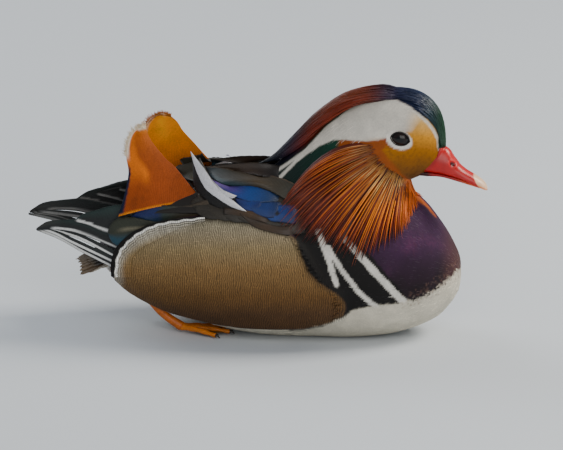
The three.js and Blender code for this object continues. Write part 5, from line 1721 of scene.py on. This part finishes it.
# Ruff: copper hackles that fan back and down from the cheek over the neck, dark under, gold on their shafts.
# They lie in layers, the upper ones shorter, and stand a little off the shoulder at their tips.
RUFF_ROOT = ((84, 153), (89, 145), (96, 137), (102, 130), (107, 122.5))
RUFF_TIP = ((21, 119), (13, 105), (22, 92), (38, 84), (55, 77), (74, 71.5), (93, 78), (107, 88), (115, 103))
RUFF_LEAVE = (math.pi * 0.97, math.pi * 1.52)
HACKLE_RINGS = 9
ruff_finish = feather_finish("ruff_feathers", roughness=0.42, specular=0.4, barbs=0.15)


def hackle_line(s, t):
    """Places in the side view on hackle s, at t along it: both arrays of one length."""
    root, tip = spline(RUFF_ROOT, s), spline(RUFF_TIP, s)
    leave = RUFF_LEAVE[0] + (RUFF_LEAVE[1] - RUFF_LEAVE[0]) * np.clip(s, 0, 1) ** 0.8
    bend = np.linalg.norm(tip - root, axis=1) * 0.5
    turn = root + np.stack([np.cos(leave), np.sin(leave)], 1) * bend[:, None]
    t = t[:, None]
    return (1 - t) ** 2 * root + 2 * t * (1 - t) * turn + t**2 * tip


# count, start and reach along the hackle, lift at root and tip, half width, edge and middle colours
RUFF_LAYERS = (
    (150, 0.02, 0.72, 1.00, 0.8, 1.8, 1.7, ("200a08", "260a08", "30100a")),
    (120, 0.02, 0.66, 0.98, 1.5, 2.8, 1.1, ("2c100a", "441609", "5a220c")),
    (64, 0.02, 0.62, 1.00, 2.2, 4.0, 0.85, ("34160a", "60260b", "74300d")),
    (46, 0.03, 0.86, 1.04, 2.9, 4.9, 0.55, ("9a5a24", "d07e30", "a84e12")),
    (40, 0.02, 0.28, 0.60, 2.6, 4.6, 0.4, ("8a5628", "e6bd84", "b0661f")),
    (90, 0.00, 0.12, 0.34, 1.4, 3.4, 0.36, ("5a3016", "b0844e", "8a4e1e")),
)
for side, word in SIDES:
    reach_of = side_reach([skin, beds[side]])
    lines, outs, halves, shades, homes = [], [], [], [], []
    for layer, (count, start, least, most, lift0, lift1, half, codes) in enumerate(RUFF_LAYERS):
        for k in range(count):
            s = np.clip((k + 0.5 + 0.35 * draws.uniform(-1, 1)) / count, 0.002, 0.998)
            end = draws.uniform(least, most) if most < 1 else most * draws.uniform(0.86, 1.02)
            t = np.linspace(start + 0.06 * draws.uniform(0, 1), end, HACKLE_RINGS)
            drift = 0.012 * draws.uniform(-1, 1) * t
            place = hackle_line(np.clip(s + drift, 0, 1), t)
            skin_y = reach_of(place[:, 0], place[:, 1], side)
            lift = lift0 + (lift1 - lift0) * np.minimum(1, 2.5 * t) + 0.5 * draws.uniform(-1, 1)
            lift -= (lift0 + 1.0) * (1 - ease(t, t[0], t[0] + 0.07))
            y = side * (skin_y + lift)
            lines.append(np.stack([place[:, 0], y, place[:, 1]], 1))
            outs.append(np.tile((0, side, 0.35), (HACKLE_RINGS, 1)))
            w = np.linspace(0, 1, HACKLE_RINGS)
            beyond = hackle_line(np.full(len(t), min(s + 0.01, 1)), t)
            before = hackle_line(np.full(len(t), max(s - 0.01, 0)), t)
            fan = np.clip(np.linalg.norm(beyond - before, axis=1) / 1.3, 0.35, 1)
            halves.append(half * fan * np.minimum(0.6 + 2 * w, 1) * np.clip(2.2 * (1 - w), 0.05, 1))
            shade = ramp(w, tuple(zip((0, 0.45, 1), codes)))
            shade = over(shade, "d87414", 0.7 * ease(s, 0.80, 0.97))
            shades.append(over(shade, "6a2a10", 0.6 * (1 - ease(s, 0.1, 0.6))))
            homes.append((0.5 + 0.45 * s, 0.5 + side * (0.1 + 0.05 * layer)))
    lines = np.array(lines)
    for ring in range(1, HACKLE_RINGS - 1):
        lines[:, ring, 1] = (lines[:, ring - 1, 1] + lines[:, ring, 1] * 2 + lines[:, ring + 1, 1]) / 4
    ruff = strands_piece("ruff_" + word + "_hackles", lines, outs, halves, 0.35, shades, ruff_finish, homes)
    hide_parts("ruff_" + word)
    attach(ruff, "root")


# Crest: long silky feathers from the crown over the nape, copper-red with a dark teal end.
# They lie close together in layers, and come to a loose point on the back.
# order, x, top, half width, height
CREST = (
    (0, 106, 190.9, 8, 4),
    (1, 97, 193.1, 11.5, 6),
    (2, 85, 193.1, 14, 8),
    (3, 69.5, 190, 15.5, 9.5),
    (4, 53.5, 183.8, 15.5, 11),
    (5, 34.5, 169.3, 14.5, 12),
    (6, 20, 153.6, 13, 12),
    (7, 5, 137.5, 10.5, 8.5),
    (8, -4, 130.5, 7.5, 5),
    (9, -13, 126.3, 3, 2),
)
CREST_LAST = 9
CREST_RINGS = 9
# count, least and most share of the crest's depth, half width
CREST_LAYERS = ((260, 0.80, 0.86, 1.5), (380, 0.90, 0.94, 0.9), (420, 0.97, 1.01, 0.6))
crest_finish = feather_finish("crest_feathers", roughness=0.38, specular=0.4, barbs=0.4)


def crest_at(order, angle, share):
    row = table(CREST, order)
    ahead = table(CREST, np.clip(order + 0.1, 0, CREST_LAST))[:, 1:3]
    behind = table(CREST, np.clip(order - 0.1, 0, CREST_LAST))[:, 1:3]
    along = unit_rows(ahead - behind)
    out = np.stack([-along[:, 1], along[:, 0]], 1)
    out *= np.sign(out[:, 1:2] + 1e-9)
    p = row[:, 1:3] + out * ((np.sin(angle) * share - 1) * row[:, 4])[:, None]
    return np.stack([p[:, 0], np.cos(angle) * row[:, 3] * share, p[:, 1]], 1)


def tapered(half, w):
    """Half widths of a lock that is full from a quarter of its length on and runs out to a point."""
    return half * np.minimum(0.5 + 2 * w, 1) * np.clip(2.0 * (1 - w), 0.06, 1)


lines, outs, halves, shades, homes = [], [], [], [], []
w = np.linspace(0, 1, CREST_RINGS)
for count, share0, share1, half in CREST_LAYERS:
    for _ in range(count):
        angle = quarter_turn + draws.uniform(-1, 1) * 1.45
        start = draws.uniform(0.0, 5.6)
        far = start + draws.uniform(2.2, 3.8)
        end = min(far, CREST_LAST - 1.7 * abs(angle - quarter_turn) * draws.uniform(0.8, 1.1))
        if end - start < 0.8:
            continue
        order = np.linspace(start, end, CREST_RINGS)
        angles = angle + (quarter_turn - angle) * 0.25 * w + 0.03 * draws.uniform(-1, 1) * w
        share = share0 + (share1 - share0) * draws.uniform(0, 1)
        share = share + 0.015 * np.sin(np.pi * w) - 0.04 * (1 - w) ** 2
        line = crest_at(order, angles, share)
        line[:, 2] -= 3.6 * (1 - ease(order, 0.0, 2.0 + draws.uniform(0, 2.2)))
        lines.append(line)
        outs.append(crest_at(order, angles, share + 0.3) - crest_at(order, angles, share))
        halves.append(tapered(half, w))
        low = ease(abs(angle - quarter_turn) - 0.35, 0.2, 1.0)
        copper = low * 0.5 * ease(order, 2, 3.5) * (1 - ease(order, 5.5, 7))
        shades.append(over(ramp(drawn(line)[:, 0], CROWN_COLOURS), "7a2c12", copper))
        homes.append((0.5 + 0.45 * start / CREST_LAST, 0.25 + 0.1 * (angle - quarter_turn)))
crest = strands_piece("crest_strands", lines, outs, halves, 0.4, shades, crest_finish, homes)
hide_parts("crest")
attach(crest, "root")


# Forehead: short sleek strands from the bill's root up to where the crest starts.
# They lie close to the skin and stay inside the dark crown.
FOREHEAD_COUNT = 2500
lines, outs, halves, shades, homes = [], [], [], [], []
for _ in range(FOREHEAD_COUNT):
    angle = quarter_turn + draws.uniform(-1, 1) * 1.1
    start = draws.uniform(0.0, 6.8)
    order = start + draws.uniform(0.5, 0.9) * w
    tuck = 0.6 * ease(order, 6.4, 7.6)
    line = head_at(order, angle, 0.15 + 0.45 * np.sin(np.pi * w) - tuck)
    spots = drawn(line)
    if inside_by(spots, CROWN).min() < 0.6:
        continue
    lines.append(line)
    outs.append(head_at(order, angle, 2.0) - head_at(order, angle, 0.0))
    halves.append(tapered(0.42, w))
    shades.append(ramp(spots[:, 0], CROWN_COLOURS))
    homes.append((0.5 + 0.45 * start / CREST_LAST, 0.25 + 0.1 * (angle - quarter_turn)))
forehead = strands_piece("forehead_strands", lines, outs, halves, 0.3, shades, crest_finish, homes)
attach(forehead, "root")


# The bill: two smooth horn shells that meet at the mouth line, the upper one with nostrils and a pale nail.
# At its root it lies on the face along the border of the feathers.
# x, underside, top, half width
UPPER_BILL = (
    (112, 127.8, 146.5, 8.6),
    (120, 127.9, 148.0, 9.4),
    (128, 127.2, 148.2, 9.8),
    (134, 126.2, 147.0, 9.5),
    (137.5, 125.4, 144.4, 9.1),
    (140.5, 124.7, 139.4, 8.6),
    (143.5, 123.9, 135.0, 8.1),
    (149.4, 121.6, 129.8, 7.5),
    (156, 118.7, 125.9, 6.9),
    (161.5, 116.1, 122.3, 5.6),
    (164.6, 114.5, 119.2, 3.6),
    (166, 113.9, 116.4, 0.9),
)
LOWER_BILL = (
    (112, 124.2, 128.2, 7.2),
    (120, 123.8, 128.2, 7.9),
    (128, 124.0, 127.4, 8.0),
    (134, 123.3, 126.4, 7.8),
    (143.8, 120.5, 124.0, 7.0),
    (153.8, 117.8, 120.2, 6.2),
    (160, 115.9, 117.6, 4.8),
    (163, 115.0, 116.2, 2.6),
    (164, 114.7, 115.4, 0.8),
)
FACE_BORDER = ((122, 115.5), (128, 118.9), (132.2, 122.7), (137.9, 128), (146.9, 130), (151, 131))
BILL_RINGS, BILL_SIDES = 130, 72
NOSTRIL = (140.3, 135.2)
NAIL_X = (155.5, 160.5)
# The bill's red, and the pink of its painted highlights.
bill_red, bill_highlight = colour("a00f18"), colour("cc3834")
nail_pale, nail_edge = colour("e3c3a6"), colour("d67f52")


def bill_shell(rows, flat_under):
    """The points of one half of the bill, in rings from its root to its tip."""
    x = rows[0][0] + (rows[-1][0] - rows[0][0]) * np.linspace(0, 1, BILL_RINGS) ** 0.85
    row = table(rows, x)
    under, top, half = row[:, 1:2], row[:, 2:3], np.maximum(row[:, 3:4], 0.4)
    wide = under + (top - under) * (0.28 if flat_under else 0.72)
    angle = np.linspace(0, 2 * np.pi, BILL_SIDES, endpoint=False)[None]
    c, s = np.cos(angle), np.sin(angle)
    reach = np.where(s >= 0, top - wide, wide - under)
    flat = (s < 0) == flat_under
    full = np.where(flat, 4.0, 2.15)
    y = half * np.sign(c) * np.abs(c) ** (2 / full)
    z = wide + reach * np.sign(s) * np.abs(s) ** (2 / full)
    return np.stack([np.broadcast_to(x[:, None], y.shape), y, z], 2).reshape(-1, 3)


def set_bump(tree, height, shader, strength, distance, invert=False):
    """Makes the shader's surface follow a height, in mm."""
    bump = node(tree, "ShaderNodeBump", invert=invert)
    bump.inputs["Strength"].default_value = strength
    bump.inputs["Distance"].default_value = distance * MM
    tree.links.new(height, bump.inputs["Height"])
    tree.links.new(bump.outputs["Normal"], shader.inputs["Normal"])


def shade_marking(tree, factor, shader):
    """Makes the shader's colour the marking of the piece, lighter or darker by a factor."""
    tree.links.new(tinted(tree, read(tree, "plumage", "Color"), factor), shader.inputs["Base Color"])


HORN = {
    "Specular IOR Level": 0.45,
    "Subsurface Weight": 0.06,
    "Subsurface Radius": (0.003, 0.001, 0.0005),
}
horn_finish, tree, shader, place = new_finish("bill_horn", HORN)
grain = noise_of(tree, place, 3.5, 3)
pores = noise_of(tree, place, 0.7, 2)
shade_marking(tree, sum_of(tree, "MULTIPLY_ADD", grain, 0.5, 0.75), shader)
tree.links.new(sum_of(tree, "MULTIPLY_ADD", grain, 0.2, 0.24), shader.inputs["Roughness"])
set_bump(tree, sum_of(tree, "MULTIPLY_ADD", pores, 0.5, grain), shader, 0.25, 0.3)

face_reach = side_reach([skin])
bill_faces = tube_faces(BILL_RINGS, BILL_SIDES)
BILL_HALVES = (("bill_upper_horn", UPPER_BILL, True), ("bill_lower_horn", LOWER_BILL, False))
for name, rows, flat_under in BILL_HALVES:
    points = bill_shell(rows, flat_under)
    border = np.interp(points[:, 2], *np.array(FACE_BORDER).T)
    in_front = points[:, 0] > border
    near_face = (points[:, 0] < 139) & (np.abs(points[:, 1]) > 2.5)
    found = face_reach(points[:, 0], points[:, 2], LEFT) + 0.75
    need = np.where(near_face & in_front, np.maximum(found - np.abs(points[:, 1]), 0), 0)
    need = need.reshape(BILL_RINGS, BILL_SIDES)
    for _ in range(3):
        need[1:-1] = np.maximum(need[1:-1], (need[:-2] + 2 * need[1:-1] + need[2:]) / 4)
    points[:, 1] += np.sign(points[:, 1]) * need.ravel()
    x, z = points[:, 0], points[:, 2]
    horn = mesh_piece(name, points * MM, bill_faces, horn_finish)
    if flat_under:
        slant = (x - NOSTRIL[0]) * 0.80 - (z - NOSTRIL[1]) * 0.60
        across = (x - NOSTRIL[0]) * 0.60 + (z - NOSTRIL[1]) * 0.80
        ring = np.hypot(slant / 3.4, across / 2.0)
        normals = np.empty(points.size)
        horn.data.vertices.foreach_get("normal", normals)
        on_flank = np.abs(points[:, 1]) > 2.5
        push = 0.32 * np.exp(-(((ring - 0.95) / 0.26) ** 2)) - 1.5 * (1 - ease(ring, 0.25, 0.75))
        points += normals.reshape(-1, 3) * (push * on_flank)[:, None]
        set_points(horn, points)
        hollow = (1 - ease(ring, 0.45, 0.8)) * on_flank
        low, top = table(rows, x)[:, 1:3].T
        share = (z - low) / np.maximum(top - low, 0.5)
        # Painted highlight: pink along the top of the upper bill.
        shades = over(bill_red, bill_highlight, 0.45 * ease(share, 0.75, 1.0))
        shades = over(shades, "c9402a", 0.6 * (1 - ease(share, 0.0, 0.12)) * ease(x, 128, 146))
        shades = over(shades, "7a0c12", 0.5 * (1 - ease(x - border, 0.2, 3.0)))
        # Painted highlight: pink round the raised rim of each nostril.
        shades = over(shades, bill_highlight, 0.6 * np.exp(-(((ring - 1.0) / 0.22) ** 2)) * on_flank)
        # Painted shade: the nostril's hollow is painted near black.
        shades = over(shades, "3a0507", hollow)
        nail = ease(x - np.interp(share, (0, 1), (NAIL_X[1], NAIL_X[0])), -0.8, 0.8)
        shades = over(shades, nail_edge, nail)
        shades = over(shades, nail_pale, nail * ease(share, 0.15, 0.5))
    else:
        shades = over(colour("8a1216"), "c25a3a", ease(x, 140, 158))
        shades = over(shades, "2a0a08", 1 - ease(x, 120, 126))
    face_out(horn)
    set_colours(horn, shades)
    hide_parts("bill_upper" if flat_under else "bill_lower")
    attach(horn, "root")


# Eyes: wet dark balls in an oval of dark lid, set in the head at its sides.
# The front of each is turned a little down, along the line of the bill.
EYE_RADII = (7.3, 4.6, 5.55)
EYE_DEEP = 1.9
EYE_TILT = math.radians(7)
LID_RADII, LID_TUBE = (6.85, 5.2), 0.55
BALL_RINGS, BALL_SIDES = 28, 48
LID_ROUND, LID_SIDES = 64, 12
WET = {"Roughness": 0.2, "Specular IOR Level": 0.15, "Coat Weight": 0.35, "Coat Roughness": 0.02}
eye_finish, tree, shader, place = new_finish("eye_wet", WET)
shade_marking(tree, sum_of(tree, "MULTIPLY_ADD", noise_of(tree, place, 0.8, 3), 0.8, 0.6), shader)
lid_finish, tree, shader, place = new_finish("eye_lid", {"Roughness": 0.5})
shade_marking(tree, sum_of(tree, "MULTIPLY_ADD", noise_of(tree, place, 0.6, 2), 0.8, 0.6), shader)
eye_depth, eye_x, eye_z = depth_at(EYE_SPOT, face_reach, 18.0, 5)
full_round = np.linspace(0, 2 * np.pi, BALL_SIDES, endpoint=False)
around, down = np.meshgrid(full_round, np.linspace(0.05, math.pi - 0.05, BALL_RINGS))
ball = np.stack([np.cos(around) * np.sin(down), np.cos(down), np.sin(around) * np.sin(down)], 2)
ball = ball.reshape(-1, 3)
ball_faces = tube_faces(BALL_RINGS, BALL_SIDES)
round_angle = np.linspace(0, 2 * np.pi, LID_ROUND, endpoint=False)[:, None]
tube_angle = np.linspace(0, 2 * np.pi, LID_SIDES, endpoint=False)[None]
lid_x = (LID_RADII[0] + LID_TUBE * np.cos(tube_angle)) * np.cos(round_angle)
lid_y = 1.2 * LID_TUBE * np.sin(tube_angle)
lid_z = (LID_RADII[1] + LID_TUBE * np.cos(tube_angle)) * np.sin(round_angle)
front_corner = np.exp(-(((round_angle - 2 * np.pi * 0.97) / 0.35) ** 2))
rear_corner = np.exp(-(((round_angle - np.pi) / 0.4) ** 2))
corner = front_corner + 0.6 * rear_corner
lid = np.broadcast_arrays(lid_x * (1 + 0.08 * corner), lid_y, lid_z * (1 - 0.1 * corner))
lid = np.stack(lid, 2).reshape(-1, 3)
lid_faces = []
for j in range(LID_ROUND):
    for i in range(LID_SIDES):
        this, onward, k = j * LID_SIDES, (j + 1) % LID_ROUND * LID_SIDES, (i + 1) % LID_SIDES
        lid_faces.append((this + i, onward + i, onward + k, this + k))
tilt_c, tilt_s = math.cos(EYE_TILT), math.sin(EYE_TILT)
tilt = np.array(((tilt_c, 0, tilt_s), (0, 1, 0), (-tilt_s, 0, tilt_c)))
for side, word in SIDES:
    centre = (eye_x, side * (eye_depth - EYE_DEEP), eye_z)
    eye_points = (ball * EYE_RADII) @ tilt.T * (1, side, 1) + centre
    eye = mesh_piece("eye_" + word + "_ball", eye_points * MM, ball_faces, eye_finish)
    face_out(eye)
    off = np.hypot(ball[:, 0] * EYE_RADII[0], ball[:, 2] * EYE_RADII[2])
    iris = ease(off, 2.7, 3.2) * (1 - ease(off, 4.6, 5.4))
    set_colours(eye, over(colour("060505"), "160b06", iris))
    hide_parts("eye_" + word)
    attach(eye, "root")
    lid_points = lid @ tilt.T * (1, side, 1) + (eye_x, side * (eye_depth + 0.15), eye_z)
    rim = mesh_piece("lid_" + word, lid_points * MM, lid_faces, lid_finish)
    face_out(rim)
    set_colours(rim, colour("1a1411"))
    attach(rim, "root")


# Feet: yellow-orange shanks and toes with darker webs, tucked under the belly's rear.
# Each toe has joints and a dark claw, and its skin is scaly.
HEEL, ANKLE = (-86, 27, 25), (-64, 26.5, 4.9)
TOES = ((-32, 14, 2.4), (-27, 27, 2.4), (-36, 39, 2.4))
WEB_STEPS = 14
foot_finish, tree, shader, place = new_finish("foot_skin", {"Roughness": 0.45})
scales = node(tree, "ShaderNodeTexVoronoi")
scales.inputs["Scale"].default_value = 1 / (1.5 * MM)
tree.links.new(place, scales.inputs["Vector"])
scale_height = scales.outputs["Distance"]
uneven = sum_of(tree, "MULTIPLY_ADD", noise_of(tree, place, 4, 2), 0.5, 0.75)
shade = sum_of(tree, "MULTIPLY", sum_of(tree, "MULTIPLY_ADD", scale_height, -0.45, 1.15), uneven)
shade_marking(tree, shade, shader)
set_bump(tree, scale_height, shader, 0.5, 0.4, invert=True)


def limb(rows, radii, rings=26, sides=14, joints=0):
    """A round limb along a smooth line, with swellings at its joints."""
    t = np.linspace(0, 1, rings)
    line = spline(rows, t)
    ahead = unit_rows(np.gradient(line, axis=0))
    across = unit_rows(np.cross(np.tile((0.0, 0.0, 1.0), (rings, 1)), ahead))
    above = np.cross(ahead, across)
    radius = np.interp(t, np.linspace(0, 1, len(radii)), radii) * (1 + 0.09 * np.cos(2 * np.pi * joints * t))
    angle = np.linspace(0, 2 * np.pi, sides, endpoint=False)
    ring = across[:, None] * np.cos(angle)[None, :, None] + above[:, None] * np.sin(angle)[None, :, None]
    return (line[:, None] + ring * radius[:, None, None]).reshape(-1, 3), tube_faces(rings, sides)


for side, word in SIDES:
    ankle = np.array(ANKLE)
    parts = [(*limb([HEEL, (-77, 27, 14), ANKLE], (4.0, 2.9, 3.3)), colour("b5661c"))]
    for toe in TOES:
        tip = np.array(toe)
        middle_joint = (ankle + tip) / 2 + (0, 0, 0.6)
        parts.append((*limb([ANKLE, middle_joint, toe], (2.9, 2.1, 1.9, 1.5), joints=3), colour("c07420")))
        way = (tip - ankle) / np.linalg.norm(tip - ankle)
        claw = [tip - way, tip + way * 1.6 + (0, 0, 0.4), tip + way * 3.6 - (0, 0, 1.2)]
        parts.append((*limb(claw, (1.3, 0.9, 0.25), 10, 10), colour("1c1612")))
    for near_toe, far_toe in zip(np.array(TOES), np.array(TOES[1:])):
        u, v = unit_grid(WEB_STEPS + 1, WEB_STEPS + 1)
        end = near_toe + (far_toe - near_toe) * u[:, None]
        share = 0.1 + (0.86 - 0.16 * np.sin(np.pi * u)) * v
        web = ankle + (end - ankle) * share[:, None]
        web[:, 2] = 3.6 - 1.6 * v + 0.25 * np.sin(9 * np.pi * v) * np.sin(np.pi * u)
        web = np.concatenate([web + (0, 0, 0.5), web - (0, 0, 0.5)])
        parts.append((web, plate_faces(WEB_STEPS, WEB_STEPS), colour("4a3418")))
    points, faces, shades = [], [], []
    for part_points, part_faces, tint in parts:
        start = sum(len(p) for p in points)
        points.append(part_points)
        faces += [tuple(i + start for i in f) for f in part_faces]
        shades.append(np.tile(tint, (len(part_points), 1)))
    points = np.concatenate(points) * (1, side, 1)
    points[:, 2] = np.maximum(points[:, 2], 0.2)
    foot = mesh_piece("foot_" + word, points * MM, faces, foot_finish)
    face_out(foot)
    set_colours(foot, np.concatenate(shades))
    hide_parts("leg_" + word)
    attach(foot, "root")


# The two pattern feathers have been planted everywhere, so they go.
# Nothing of them shows on the bird.
for form in (small_form, fine_form):
    bpy.data.objects.remove(form)
